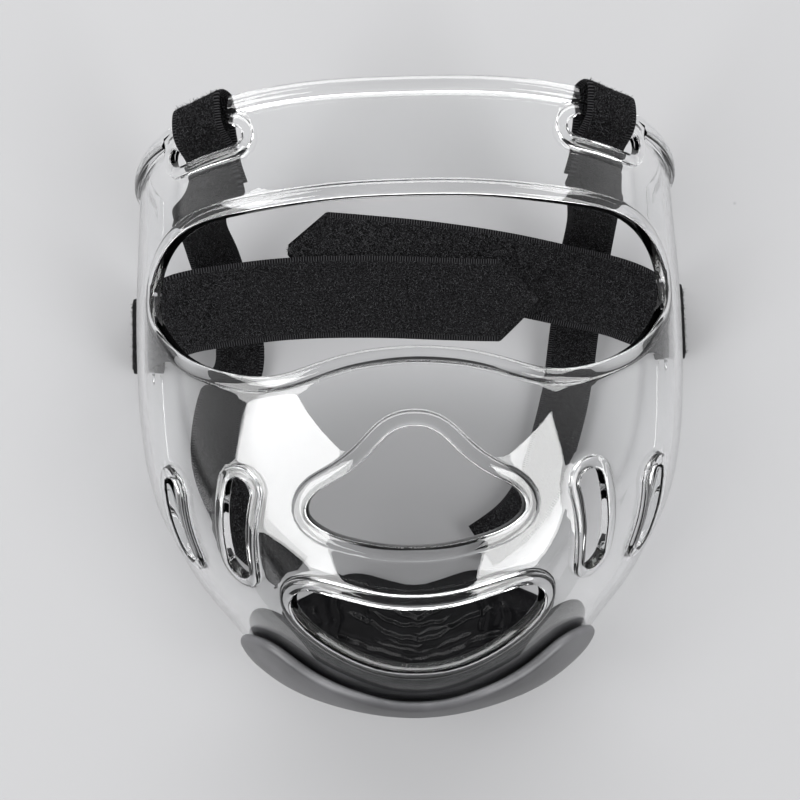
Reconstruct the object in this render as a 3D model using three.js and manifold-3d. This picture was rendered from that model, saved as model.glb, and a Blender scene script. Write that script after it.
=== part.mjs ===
// Clear face shield for a padded sports headgear, lying on its rear rim.
// Millimetres. X runs across the face, Y from the chin to the forehead, Z out of the face.
import * as THREE from "three";
import { mergeVertices, toCreasedNormals } from "three/addons/utils/BufferGeometryUtils.js";
import Module from "manifold-3d";

const wasm = await Module();
wasm.setup();

// Shell: overall sizes
const shellWidth = 216;
const shellHeight = 222;
const shellDepth = 114;
const wall = 2.4;
const chinReach = 113;

// Beads: half their width and how far they stand out
const rimBead = { half: 3, out: 2.2 };
const openingBead = { half: 2.7, out: 2.2 };
const slotBead = { half: 2.2, out: 2 };
const beadBite = 0.3;

// Smallest detail kept on the shell
const finest = 0.2;

// Slots: clear width, and for strap slots the room beside the tape
const cheekSlotWidth = 9;
const lateralSlotWidth = 8;
const topSlotWidth = 8;
const sideSlotWidth = 7;
const slotRoom = 1;

// Tape of the straps
const topTapeWidth = 20;
const sideTapeWidth = 30;
const tape = 1.6;
const gap = 0.35;
const topTapeStep = 9;
const sideTapeStep = 7;

// How far a flat tape's middle stands off the hollow side of the wall
const topBow = 1.3;
const sideBow = 0.6;

// Chin pieces
const foam = 3.6;
const foamFit = 0.5;
const foamRound = 0.35;
const bandDrop = 3.2;
const cupWall = 5;

// Rear rim: the relief that lets a side strap pass under it
const reliefHeight = 3;
const reliefRoom = 2;

// Cross-sections from the chin up. at: share of the height, width: share of half the width,
// depth: share of the depth, square: how far the section leaves an ellipse for a box.
const sections = [
  { at: 0, width: 0.444, depth: 0.53, square: -0.02 },
  { at: 0.032, width: 0.537, depth: 0.667, square: -0.02 },
  { at: 0.068, width: 0.62, depth: 0.754, square: -0.02 },
  { at: 0.122, width: 0.708, depth: 0.86, square: -0.02 },
  { at: 0.18, width: 0.8, depth: 0.939, square: -0.015 },
  { at: 0.248, width: 0.88, depth: 0.982, square: -0.005 },
  { at: 0.306, width: 0.935, depth: 1, square: 0.01 },
  { at: 0.419, width: 0.986, depth: 0.991, square: 0.035 },
  { at: 0.554, width: 1, depth: 0.939, square: 0.05 },
  { at: 0.712, width: 0.995, depth: 0.886, square: 0.055 },
  { at: 0.869, width: 0.977, depth: 0.846, square: 0.055 },
  { at: 1.012, width: 0.972, depth: 0.803, square: 0.055 },
];

// Lower edge of the shell. around: degrees from the front, 90 at the rear rim, up: share of the height
const lowerEdge = [
  { around: 0, up: 0.002 },
  { around: 20, up: 0.007 },
  { around: 40, up: 0.018 },
  { around: 61, up: 0.036 },
  { around: 72, up: 0.072 },
  { around: 78.5, up: 0.122 },
  { around: 84.7, up: 0.18 },
  { around: 88.5, up: 0.248 },
  { around: 90, up: 0.297 },
];

// Top edge of the shell: highest over the brow, and falling towards the rear rim
const topEdge = [
  { around: 0, up: 1.009 },
  { around: 15, up: 1.006 },
  { around: 25, up: 0.997 },
  { around: 30, up: 0.99 },
  { around: 35, up: 0.979 },
  { around: 40, up: 0.967 },
  { around: 45, up: 0.954 },
  { around: 52, up: 0.939 },
  { around: 60, up: 0.922 },
  { around: 70, up: 0.908 },
  { around: 90, up: 0.897 },
];

// Right half of each opening, from its outer tip to the middle of the face
const eyeOpening = {
  upper: [[50, 0.68], [49, 0.712], [44.5, 0.757], [38, 0.786], [27, 0.804], [18, 0.813], [8, 0.82],
    [0, 0.821]],
  lower: [[50, 0.68], [49, 0.649], [46, 0.626], [41, 0.595], [31, 0.561], [24.5, 0.55], [20, 0.552],
    [15, 0.565], [10, 0.579], [4, 0.588], [0, 0.59]],
};
const noseVent = {
  upper: [[18.7, 0.345], [18, 0.362], [13, 0.392], [9, 0.414], [6, 0.439], [3, 0.464], [0, 0.471]],
  lower: [[18.7, 0.345], [17.5, 0.329], [15.5, 0.318], [11, 0.306], [5, 0.297], [0, 0.295]],
};
const mouthVent = {
  upper: [[29.7, 0.191], [28.7, 0.212], [25.5, 0.226], [20.5, 0.224], [13.5, 0.212], [7, 0.203], [0, 0.2]],
  lower: [[29.7, 0.191], [27.7, 0.16], [20.5, 0.124], [10.5, 0.101], [0, 0.095]],
};

// Centres of the two round ends of each slot, right side
const cheekSlot = { ends: [[31, 0.381], [39.5, 0.259]], width: cheekSlotWidth };
const lateralSlot = { ends: [[50.5, 0.381], [57.5, 0.272]], width: lateralSlotWidth };
const topSlotPlace = { around: 35.5, up: 0.917, lean: 13 };
const sideSlotPlace = { around: 80, up: 0.638 };

// Chin band: how high its outer and inner legs reach over the lower edge
const bandReach = [
  { around: 0, outer: 0.032, inner: 0.062 },
  { around: 11, outer: 0.036, inner: 0.066 },
  { around: 20, outer: 0.047, inner: 0.076 },
  { around: 30, outer: 0.065, inner: 0.11 },
  { around: 38, outer: 0.092, inner: 0.15 },
  { around: 44, outer: 0.12, inner: 0.165 },
  { around: 50, outer: 0.13, inner: 0.16 },
  { around: 58, outer: 0.125, inner: 0.13 },
  { around: 66, outer: 0.1, inner: 0.09 },
  { around: 70, outer: 0.08, inner: 0.078 },
];

// Chin cup: rear edge from the throat dip outwards. across: share of half the width,
// up: share of the height, out: share of the depth
const cupRear = [
  { across: 0, up: 0.163, out: 0.062 },
  { across: 0.11, up: 0.176, out: 0.055 },
  { across: 0.2, up: 0.188, out: 0.055 },
  { across: 0.29, up: 0.184, out: 0.06 },
  { across: 0.35, up: 0.168, out: 0.075 },
  { across: 0.43, up: 0.15, out: 0.105 },
  { across: 0.5, up: 0.122, out: 0.16 },
  { across: 0.52, up: 0.105, out: 0.215 },
];
const cupFrontAngle = 56;

// The cup hangs slack: how far, in which direction, and how much less at its ends
const cupSag = { depth: 9, down: 0.85, back: 0.5, flatter: 0.8 };

// Shares of the shell's half width, height and depth that the free stretch of each strap runs through.
// turn: how far the tape is turned about its own line, in degrees
const topLeftRun = [
  { across: -0.71, up: 0.835, out: 0.47, turn: 0 },
  { across: -0.715, up: 0.8, out: 0.31, turn: 0 },
  { across: -0.695, up: 0.75, out: 0.18, turn: -8 },
  { across: -0.66, up: 0.68, out: 0.09, turn: -16 },
  { across: -0.64, up: 0.62, out: 0.07, turn: -18 },
  { across: -0.655, up: 0.565, out: 0.06, turn: -16 },
  { across: -0.705, up: 0.529, out: 0.06, turn: -14 },
  { across: -0.75, up: 0.453, out: 0.065, turn: -10 },
  { across: -0.75, up: 0.39, out: 0.065, turn: -8 },
  { across: -0.69, up: 0.315, out: 0.07, turn: -16 },
  { across: -0.59, up: 0.25, out: 0.08, turn: -32 },
  { across: -0.46, up: 0.195, out: 0.09, turn: -42 },
];
const topRightRun = [
  { across: 0.65, up: 0.835, out: 0.47, turn: 0 },
  { across: 0.66, up: 0.8, out: 0.33, turn: 0 },
  { across: 0.655, up: 0.755, out: 0.21, turn: 0 },
  { across: 0.645, up: 0.69, out: 0.12, turn: 0 },
  { across: 0.625, up: 0.62, out: 0.08, turn: 0 },
  { across: 0.595, up: 0.52, out: 0.06, turn: 0 },
  { across: 0.55, up: 0.435, out: 0.055, turn: 0 },
  { across: 0.5, up: 0.362, out: 0.055, turn: 0 },
  { across: 0.405, up: 0.288, out: 0.06, turn: 0 },
  { across: 0.255, up: 0.235, out: 0.07, turn: 0 },
];
const sideLeftRun = [
  { across: -0.83, up: 0.65, out: 0.535, turn: 0 },
  { across: -0.76, up: 0.662, out: 0.555, turn: 0 },
  { across: -0.6, up: 0.673, out: 0.56, turn: 0 },
  { across: -0.4, up: 0.681, out: 0.56, turn: 0 },
  { across: -0.1, up: 0.68, out: 0.56, turn: 0 },
  { across: 0.1, up: 0.674, out: 0.56, turn: 0 },
  { across: 0.29, up: 0.669, out: 0.56, turn: 0 },
  { across: 0.43, up: 0.667, out: 0.56, turn: 0 },
];
const sideRightRun = [
  { across: 0.85, up: 0.65, out: 0.385, turn: 0 },
  { across: 0.74, up: 0.672, out: 0.41, turn: 0 },
  { across: 0.55, up: 0.694, out: 0.455, turn: 0 },
  { across: 0.35, up: 0.715, out: 0.495, turn: 0 },
  { across: 0.1, up: 0.735, out: 0.525, turn: 0 },
  { across: -0.12, up: 0.748, out: 0.537, turn: 0 },
  { across: -0.405, up: 0.763, out: 0.537, turn: 0 },
];
const clippedEnd = { length: 13, tip: 4 };

// Loop of a top strap: folded back inside, over the rim, down the front, in through the slot, down inside.
// from: what its height counts from, step: in halves of the slot's width, layer: where it lies,
// lift: in thicknesses of tape off that layer, lean: how much of the slot's lean it takes on
const topLoop = [
  { from: "slot", step: -2.75, layer: "second", lift: -4, lean: 0.5 },
  { from: "slot", step: -1.5, layer: "second", lift: -1.5, lean: 0.9 },
  { from: "slot", step: -0.25, layer: "second", lift: -0.22, lean: 1 },
  { from: "slot", step: 1.25, layer: "first", lift: -0.22, lean: 1.1 },
  { from: "rim", step: -0.75, layer: "first", lift: 0, lean: 1.3 },
  { from: "rim", step: 0.25, layer: "first", lift: 0, lean: 1.3 },
  { from: "rim", step: 0.62, layer: "middle", lift: 0, lean: 1.3 },
  { from: "rim", step: 0.35, layer: "overBead", lift: 0, lean: 1.3 },
  { from: "rim", step: -1, layer: "overBead", lift: 0.62, lean: 1.2 },
  { from: "slot", step: 1.6, layer: "overBead", lift: 0.38, lean: 1 },
  { from: "slot", step: 0.8, layer: "outer", lift: 0.75, lean: 1 },
  { from: "slot", step: 0.15, layer: "middle", lift: 0, lean: 1 },
  { from: "slot", step: -0.65, layer: "first", lift: 0, lean: 1 },
  { from: "slot", step: -1.75, layer: "first", lift: -0.75, lean: 0.9 },
  { from: "slot", step: -3, layer: "first", lift: -3.1, lean: 0.5 },
];

// Loop of a side strap: folded back inside, under the rear rim, up the outside, in through the slot.
// turn: degrees from the slot, layer and lift: as above, rise: height where it rounds the rim, in reliefs
const sideLoop = [
  { turn: -11, layer: "second", lift: -0.22 },
  { turn: -7, layer: "second", lift: -0.22 },
  { turn: -3, layer: "second", lift: -0.22 },
  { turn: 0, layer: "second", lift: 0 },
  { turn: 3.5, layer: "first", lift: 0 },
  { rise: 1.4, layer: "first", lift: 0 },
  { rise: 0.55, layer: "first", lift: 0.5 },
  { rise: 0.285, layer: "middle", lift: 0 },
  { rise: 0.615, layer: "outer", lift: 0.125 },
  { rise: 1.53, layer: "outer", lift: 0.75 },
  { turn: 5, layer: "outer", lift: 1.25 },
  { turn: 2.2, layer: "outer", lift: 0.875 },
  { turn: 0, layer: "middle", lift: 0 },
  { turn: -1.6, layer: "first", lift: 0 },
];

// How many degrees past its slot each side strap leaves the wall
const sideLeaves = { left: 12, right: 7 };

// Smooth value of a table's column at a place in its key column
function lookUp(table, key, column, place) {
  const last = table.length - 1;
  const at = THREE.MathUtils.clamp(place, table[0][key], table[last][key]);
  let i = 0;
  while (i < last - 1 && at > table[i + 1][key]) i += 1;
  const slope = (k) => {
    const low = table[Math.max(k - 1, 0)];
    const high = table[Math.min(k + 1, last)];
    return (high[column] - low[column]) / (high[key] - low[key]);
  };
  const span = table[i + 1][key] - table[i][key];
  const t = (at - table[i][key]) / span;
  const rise = table[i + 1][column] - table[i][column];
  const bend = (1 - t) * (slope(i) * span - rise) - t * (slope(i + 1) * span - rise);
  return table[i][column] + rise * t + t * (1 - t) * bend;
}

const heightAt = (up) => up * shellHeight - chinReach;
const upAt = (y) => (y + chinReach) / shellHeight;
const brow = heightAt(sections[sections.length - 1].at);

// Point of the shell's outer face
function shellPoint(around, y) {
  const up = upAt(y);
  const square = lookUp(sections, "at", "square", up);
  const halfWidth = (lookUp(sections, "at", "width", up) * shellWidth) / 2 / (1 - square);
  const depth = (lookUp(sections, "at", "depth", up) * shellDepth) / (1 - square);
  const turn = THREE.MathUtils.degToRad(around);
  return new THREE.Vector3(
    halfWidth * (Math.sin(turn) + square * Math.sin(3 * turn)),
    y,
    depth * (Math.cos(turn) - square * Math.cos(3 * turn)),
  );
}

// Unit steps round the shell, up the shell and out of it
function shellFrame(around, y) {
  const step = 0.05;
  const low = Math.max(y - step, heightAt(0));
  const high = Math.min(y + step, brow);
  const side = shellPoint(around + step, y).sub(shellPoint(around - step, y)).normalize();
  const rise = shellPoint(around, high).sub(shellPoint(around, low)).normalize();
  const out = new THREE.Vector3().crossVectors(side, rise).normalize();
  return { side, rise, out };
}

const millimetresPerDegree = (around, y) => (
  shellPoint(around + 0.5, y).distanceTo(shellPoint(around - 0.5, y)));

const topHeight = (around) => heightAt(lookUp(topEdge, "around", "up", Math.abs(around)));
const bottomHeight = (around) => heightAt(lookUp(lowerEdge, "around", "up", Math.abs(around)));

// Point at a distance from the outer face. Past an edge it carries straight on.
function place(around, y, off) {
  const low = bottomHeight(around);
  const high = topHeight(around);
  const at = THREE.MathUtils.clamp(y, low, high);
  const frame = shellFrame(around, at);
  const past = y - at;
  const ahead = past > 0 ? new THREE.Vector3(0, 1, 0) : frame.rise;
  return shellPoint(around, at).addScaledVector(frame.out, off).addScaledVector(ahead, past);
}

// Solid of merged vertices, its faces turned outwards
function solidOf(points, triangles) {
  const geometry = new THREE.BufferGeometry();
  const coordinates = new Float32Array(points.flatMap((point) => point.toArray()));
  geometry.setAttribute("position", new THREE.BufferAttribute(coordinates, 3));
  geometry.setIndex(triangles.flat());
  const merged = mergeVertices(geometry, 1e-4);
  const corners = merged.attributes.position;
  const index = merged.index.array;
  const kept = [];
  let volume = 0;
  for (let i = 0; i < index.length; i += 3) {
    const [a, b, c] = [index[i], index[i + 1], index[i + 2]];
    if (a === b || b === c || a === c) continue;
    kept.push([a, b, c]);
    const [p, q, r] = [a, b, c].map((k) => new THREE.Vector3().fromBufferAttribute(corners, k));
    volume += p.dot(q.cross(r)) / 6;
  }
  const faces = volume < 0 ? kept.map(([a, b, c]) => [a, c, b]) : kept;
  const mesh = new wasm.Mesh({
    numProp: 3,
    vertProperties: new Float32Array(corners.array),
    triVerts: new Uint32Array(faces.flat()),
  });
  return new wasm.Manifold(mesh);
}

// Closed body between two equal grids of points
function slab(front, back) {
  const rows = front.length;
  const columns = front[0].length;
  const points = [...front.flat(), ...back.flat()];
  const at = (side, i, j) => (side * rows + i) * columns + j;
  const triangles = [];
  const quad = (a, b, c, d) => triangles.push([a, b, c], [a, c, d]);
  for (let i = 0; i + 1 < rows; i += 1) {
    for (let j = 0; j + 1 < columns; j += 1) {
      quad(at(0, i, j), at(0, i + 1, j), at(0, i + 1, j + 1), at(0, i, j + 1));
      quad(at(1, i, j), at(1, i, j + 1), at(1, i + 1, j + 1), at(1, i + 1, j));
    }
    quad(at(0, i, 0), at(1, i, 0), at(1, i + 1, 0), at(0, i + 1, 0));
    const end = columns - 1;
    quad(at(0, i, end), at(0, i + 1, end), at(1, i + 1, end), at(1, i, end));
  }
  for (let j = 0; j + 1 < columns; j += 1) {
    quad(at(0, 0, j), at(0, 0, j + 1), at(1, 0, j + 1), at(1, 0, j));
    const end = rows - 1;
    quad(at(0, end, j), at(1, end, j), at(1, end, j + 1), at(0, end, j + 1));
  }
  return solidOf(points, triangles);
}

// Body through equal closed sections, with flat ends unless it is a loop
function loft(rings, loop) {
  const size = rings[0].length;
  const triangles = [];
  const spans = loop ? rings.length : rings.length - 1;
  for (let i = 0; i < spans; i += 1) {
    const next = (i + 1) % rings.length;
    for (let j = 0; j < size; j += 1) {
      const k = (j + 1) % size;
      triangles.push([i * size + j, next * size + j, next * size + k]);
      triangles.push([i * size + j, next * size + k, i * size + k]);
    }
  }
  if (!loop) {
    const end = (rings.length - 1) * size;
    for (const [a, b, c] of capOf(rings[0])) triangles.push([a, b, c]);
    for (const [a, b, c] of capOf(rings[0])) triangles.push([end + a, end + c, end + b]);
  }
  return solidOf(rings.flat(), triangles);
}

// Triangles that close a section, wound the way its body needs at its first end
function capOf(ring) {
  const middle = ring.reduce((sum, point) => sum.add(point), new THREE.Vector3()).divideScalar(ring.length);
  const across = ring[0].clone().sub(middle).normalize();
  const normal = new THREE.Vector3();
  for (let j = 0; j < ring.length; j += 1) {
    const next = ring[(j + 1) % ring.length].clone().sub(middle);
    normal.add(ring[j].clone().sub(middle).cross(next));
  }
  const along = new THREE.Vector3().crossVectors(normal.normalize(), across);
  const flat = ring.map((point) => {
    const offset = point.clone().sub(middle);
    return new THREE.Vector2(offset.dot(across), offset.dot(along));
  });
  return THREE.ShapeUtils.triangulateShape(flat, []);
}

// Smooth outline of [around, height] points
function smoothLine(points, count) {
  const curve = new THREE.CatmullRomCurve3(points.map(([around, y]) => new THREE.Vector3(around, y, 0)));
  return curve.getPoints(count).map((point) => [point.x, point.y]);
}

const mirror = (outline) => outline.map(([around, y]) => [-around, y]);

// Both halves of an opening: its tips come first and at half the length of the list
function openingOutline(opening, count) {
  const whole = (side) => {
    const right = opening[side].map(([around, up]) => [around, heightAt(up)]);
    return smoothLine([...right, ...mirror(right.slice(0, -1)).reverse()], count);
  };
  const upper = whole("upper");
  const lower = whole("lower").reverse();
  return [...upper.slice(0, -1), ...lower.slice(0, -1)];
}

// Slot with round ends, as an outline that begins at one tip
function slotOutline(slot, count) {
  const [from, to] = slot.ends.map(([around, up]) => [around, heightAt(up)]);
  const middle = [(from[0] + to[0]) / 2, (from[1] + to[1]) / 2];
  const perDegree = millimetresPerDegree(...middle);
  const perHeight = shellPoint(middle[0], middle[1] + 1).distanceTo(shellPoint(...middle));
  const run = new THREE.Vector2((to[0] - from[0]) * perDegree, (to[1] - from[1]) * perHeight);
  const heading = Math.atan2(run.y, run.x);
  const halfLength = run.length() / 2;
  const outline = [];
  for (const side of [1, -1]) {
    for (let i = 0; i <= count; i += 1) {
      const bend = heading + (side > 0 ? 0 : Math.PI) - Math.PI / 2 + (i / count) * Math.PI;
      const u = side * halfLength * Math.cos(heading) + (slot.width / 2) * Math.cos(bend);
      const v = side * halfLength * Math.sin(heading) + (slot.width / 2) * Math.sin(bend);
      outline.push([middle[0] + u / perDegree, middle[1] + v / perHeight]);
    }
  }
  const quarter = Math.round(count / 2);
  return [...outline.slice(quarter), ...outline.slice(0, quarter)];
}

// Body that cuts an opening through the wall
function cutter(outline) {
  const clear = 3;
  const rows = 4;
  const half = outline.length / 2;
  const layer = (off) => {
    const grid = [];
    for (let i = 0; i <= half; i += 1) {
      const a = outline[i];
      const b = outline[(outline.length - i) % outline.length];
      const row = [];
      for (let j = 0; j <= rows; j += 1) {
        const t = j / rows;
        row.push(place(a[0] + (b[0] - a[0]) * t, a[1] + (b[1] - a[1]) * t, off));
      }
      grid.push(row);
    }
    return grid;
  };
  return slab(layer(clear + openingBead.out), layer(-wall - clear));
}

// Bead round an opening, or along a line where it is no loop
function beadOn(outline, bead, loop) {
  const sides = 6;
  const count = outline.length;
  const rings = outline.map(([around, y], i) => {
    const before = outline[loop ? (i + count - 1) % count : Math.max(i - 1, 0)];
    const after = outline[loop ? (i + 1) % count : Math.min(i + 1, count - 1)];
    const along = shellPoint(...after).sub(shellPoint(...before)).normalize();
    const { out } = shellFrame(around, y);
    const beside = new THREE.Vector3().crossVectors(along, out).normalize();
    const middle = shellPoint(around, y).addScaledVector(beside, loop ? bead.half - beadBite : 0);
    return Array.from({ length: sides }, (_, k) => {
      const turn = ((k + 0.5) / sides) * 2 * Math.PI;
      return middle.clone()
        .addScaledVector(beside, bead.half * Math.cos(turn))
        .addScaledVector(out, bead.out * Math.sin(turn));
    });
  });
  return loft(rings, loop);
}

// Turning direction of an outline, so that its bead lies outside it
function anticlockwise(outline) {
  let area = 0;
  outline.forEach(([a, y], i) => {
    const [b, z] = outline[(i + 1) % outline.length];
    area += a * z - b * y;
  });
  return area > 0 ? outline : [...outline].reverse();
}

// Shell without openings. Its rows crowd together at the chin, where it bends most.
function makeShell() {
  const columns = 28;
  const rows = 16;
  const chinCrowding = 1.7;
  const layer = (off) => {
    const grid = [];
    for (let i = 0; i <= columns; i += 1) {
      const around = -90 + (180 * i) / columns;
      const low = bottomHeight(around);
      const high = topHeight(around);
      const row = [];
      for (let j = 0; j <= rows; j += 1) {
        const share = (j / rows) ** chinCrowding;
        row.push(place(around, low + (high - low) * share, off));
      }
      grid.push(row);
    }
    return grid;
  };
  return slab(layer(0), layer(-wall));
}

// Strap slots take the tape's width and some room beside it
function topSlot() {
  const { around, up, lean } = topSlotPlace;
  const y = heightAt(up);
  const perDegree = millimetresPerDegree(around, y);
  const half = (topTapeWidth + 2 * slotRoom) / 2;
  const tilt = THREE.MathUtils.degToRad(lean);
  const across = (half * Math.cos(tilt)) / perDegree;
  const rise = (half * Math.sin(tilt)) / shellHeight;
  return { ends: [[around - across, up + rise], [around + across, up - rise]], width: topSlotWidth };
}

function sideSlot() {
  const { around, up } = sideSlotPlace;
  const half = (sideTapeWidth + 2 * slotRoom) / 2 / shellHeight;
  return { ends: [[around, up - half], [around, up + half]], width: sideSlotWidth };
}

function makeFaceShield() {
  const slotCount = 6;
  const openings = [
    [openingOutline(eyeOpening, 24), openingBead],
    [openingOutline(noseVent, 18), openingBead],
    [openingOutline(mouthVent, 18), openingBead],
  ];
  for (const slot of [cheekSlot, lateralSlot, topSlot()]) {
    const outline = slotOutline(slot, slotCount);
    openings.push([outline, slotBead], [mirror(outline), slotBead]);
  }
  const plain = [slotOutline(sideSlot(), slotCount)];
  plain.push(mirror(plain[0]));

  let shield = makeShell();
  const rimLine = [];
  const rimSpan = 84;
  const rimSteps = 28;
  for (let i = 0; i <= rimSteps; i += 1) {
    const around = -rimSpan + (2 * rimSpan * i) / rimSteps;
    rimLine.push([around, topHeight(around) - rimBead.half]);
  }
  shield = shield.add(beadOn(rimLine, rimBead, false));
  for (const [outline, bead] of openings) {
    shield = shield.add(beadOn(anticlockwise(outline), bead, true));
  }
  for (const outline of [...openings.map(([line]) => line), ...plain]) {
    shield = shield.subtract(cutter(outline));
  }
  return shield.subtract(reliefs()).simplify(finest);
}

// Low arches in the rear rim for the side straps
function reliefs() {
  const length = sideTapeWidth + 2 * reliefRoom;
  const box = new THREE.BoxGeometry(shellWidth * 1.2, length, 2 * reliefHeight);
  box.translate(0, heightAt(sideSlotPlace.up), 0);
  return solidOfGeometry(box);
}

function solidOfGeometry(geometry) {
  const corners = geometry.attributes.position;
  const points = Array.from({ length: corners.count }, (_, i) => (
    new THREE.Vector3().fromBufferAttribute(corners, i)));
  const index = Array.from(geometry.index.array);
  const triangles = [];
  for (let i = 0; i < index.length; i += 3) triangles.push(index.slice(i, i + 3));
  return solidOf(points, triangles);
}

// Channel of foam over the lower edge
function makeChinBand() {
  const end = bandReach[bandReach.length - 1].around;
  const count = 20;
  const legSteps = 4;
  const inside = -wall - foamFit;
  const leg = (around, from, to, off) => Array.from({ length: legSteps + 1 }, (_, k) => (
    place(around, from + ((to - from) * k) / legSteps, off)));
  const rings = [];
  for (let i = 0; i <= count; i += 1) {
    const around = -end + (2 * end * i) / count;
    const edge = bottomHeight(around);
    const outer = heightAt(lookUp(bandReach, "around", "outer", Math.abs(around)));
    const inner = heightAt(lookUp(bandReach, "around", "inner", Math.abs(around)));
    const soft = foamRound * foam;
    rings.push([
      place(around, outer, foamFit + foam - soft),
      ...leg(around, outer - soft, edge, foamFit + foam),
      place(around, edge - bandDrop, (foamFit + inside) / 2),
      ...leg(around, edge, inner - soft, inside - foam),
      place(around, inner, inside - foam + soft),
      ...leg(around, inner, edge - foamFit, inside),
      ...leg(around, edge - foamFit, outer, foamFit),
    ]);
  }
  return loft(rings, false);
}

// Soft bowl from the band's inner leg back to the throat
function makeChinCup() {
  const columns = 18;
  const rows = 6;
  const thinEdge = 0.45;
  const inward = -wall - foamFit - foam - gap - (cupWall / 2) * thinEdge;
  const middle = [];
  for (let i = 0; i <= columns; i += 1) {
    const share = (2 * i) / columns - 1;
    const around = share * cupFrontAngle;
    const front = place(around, bottomHeight(around) + cupWall / 2, inward);
    const across = Math.abs(share) * cupRear[cupRear.length - 1].across;
    const rear = new THREE.Vector3(
      (Math.sign(share) * across * shellWidth) / 2,
      heightAt(lookUp(cupRear, "across", "up", across)),
      lookUp(cupRear, "across", "out", across) * shellDepth,
    );
    const row = [];
    for (let j = 0; j <= rows; j += 1) {
      const t = j / rows;
      const sag = cupSag.depth * Math.sin(Math.PI * t) * (1 - cupSag.flatter * share * share);
      const slack = new THREE.Vector3(0, -cupSag.down * sag, -cupSag.back * sag);
      row.push(front.clone().lerp(rear, t).add(slack));
    }
    middle.push(row);
  }
  const layer = (off) => middle.map((row, i) => row.map((point, j) => {
    const side = middle[Math.min(i + 1, columns)][j].clone().sub(middle[Math.max(i - 1, 0)][j]);
    const back = middle[i][Math.min(j + 1, rows)].clone().sub(middle[i][Math.max(j - 1, 0)]);
    const normal = side.cross(back).normalize();
    const thick = Math.min(j, rows - j, i, columns - i) > 0 ? 1 : thinEdge;
    return point.clone().addScaledVector(normal, off * thick);
  }));
  return slab(layer(cupWall / 2), layer(-cupWall / 2));
}

// Tape through stations { point, across, half }: a flat band of even thickness
function tapeSolid(stations) {
  const rings = stations.map(({ point, across, half }, i) => {
    const before = stations[Math.max(i - 1, 0)].point;
    const after = stations[Math.min(i + 1, stations.length - 1)].point;
    const along = after.clone().sub(before).normalize();
    const flat = across.clone().addScaledVector(along, -across.dot(along)).normalize();
    const normal = new THREE.Vector3().crossVectors(along, flat).normalize();
    const corner = (side, face) => point.clone()
      .addScaledVector(flat, side * half)
      .addScaledVector(normal, (face * tape) / 2);
    return [corner(-1, -1), corner(1, -1), corner(1, 1), corner(-1, 1)];
  });
  return loft(rings, false);
}

// Even steps along a strap's line, its width vector blended between the knots
function tapeStations(knots, width, step) {
  const curve = new THREE.CatmullRomCurve3(knots.map((knot) => knot.point), false, "centripetal");
  const lengths = [0];
  for (let i = 1; i < knots.length; i += 1) {
    lengths.push(lengths[i - 1] + knots[i].point.distanceTo(knots[i - 1].point));
  }
  const total = lengths[lengths.length - 1];
  const stations = [];
  for (let i = 0; i + 1 < knots.length; i += 1) {
    const pieces = Math.max(1, Math.round((lengths[i + 1] - lengths[i]) / step));
    for (let k = i === 0 ? 0 : 1; k <= pieces; k += 1) {
      const t = k / pieces;
      const point = curve.getPoint((i + t) / (knots.length - 1));
      const across = knots[i].across.clone().lerp(knots[i + 1].across, t).normalize();
      const left = total - (lengths[i] + (lengths[i + 1] - lengths[i]) * t);
      stations.push({ point, across, half: width / 2, left });
    }
  }
  return stations;
}

// Clipped corners: the band narrows to its tip over the last stretch
function clipEnd(stations) {
  const { length, tip } = clippedEnd;
  return stations.map((station) => {
    const share = THREE.MathUtils.clamp(station.left / length, 0, 1);
    return { ...station, half: tip / 2 + (station.half - tip / 2) * share };
  });
}

// Distances of the tape's middle from the shell's outer face, layer by layer
function layersOf(bow) {
  const outer = gap + tape / 2;
  const first = -wall - outer - bow;
  return { outer, overBead: rimBead.out + outer, middle: -wall / 2, first, second: first - tape - gap };
}

// Knots of a strap's free stretch. Its first two ease out of the width vector that it leaves the wall with.
function runKnots(run, leaving) {
  const points = run.map(({ across, up, out }) => (
    new THREE.Vector3((across * shellWidth) / 2, heightAt(up), out * shellDepth)));
  return points.map((point, i) => {
    const before = points[Math.max(i - 1, 0)];
    const after = points[Math.min(i + 1, points.length - 1)];
    const along = after.clone().sub(before).normalize();
    const flat = new THREE.Vector3(-along.y, along.x, 0).normalize();
    flat.applyAxisAngle(along, THREE.MathUtils.degToRad(run[i].turn));
    if (flat.dot(leaving) < 0) flat.negate();
    const eased = Math.min(1, i / 2);
    return { point, across: leaving.clone().lerp(flat, eased).normalize() };
  });
}

function makeTopStrap(side, run) {
  const around = side * topSlotPlace.around;
  const levels = { slot: heightAt(topSlotPlace.up), rim: topHeight(around) };
  const layers = layersOf(topBow);
  const halfTape = topTapeWidth / 2;
  const slotLean = side * halfTape * Math.sin(THREE.MathUtils.degToRad(topSlotPlace.lean));
  const span = halfTape / millimetresPerDegree(around, levels.slot);
  const knots = topLoop.map(({ from, step, layer, lift, lean }) => {
    const y = levels[from] + (step * topSlotWidth) / 2;
    const on = Math.min(y, levels.rim);
    const low = shellPoint(around + span, on - slotLean * lean);
    const high = shellPoint(around - span, on + slotLean * lean);
    return { point: place(around, y, layers[layer] + lift * tape), across: low.sub(high).normalize() };
  });
  const free = runKnots(run, knots[knots.length - 1].across);
  return tapeSolid(tapeStations([...knots, ...free], topTapeWidth, topTapeStep));
}

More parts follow.
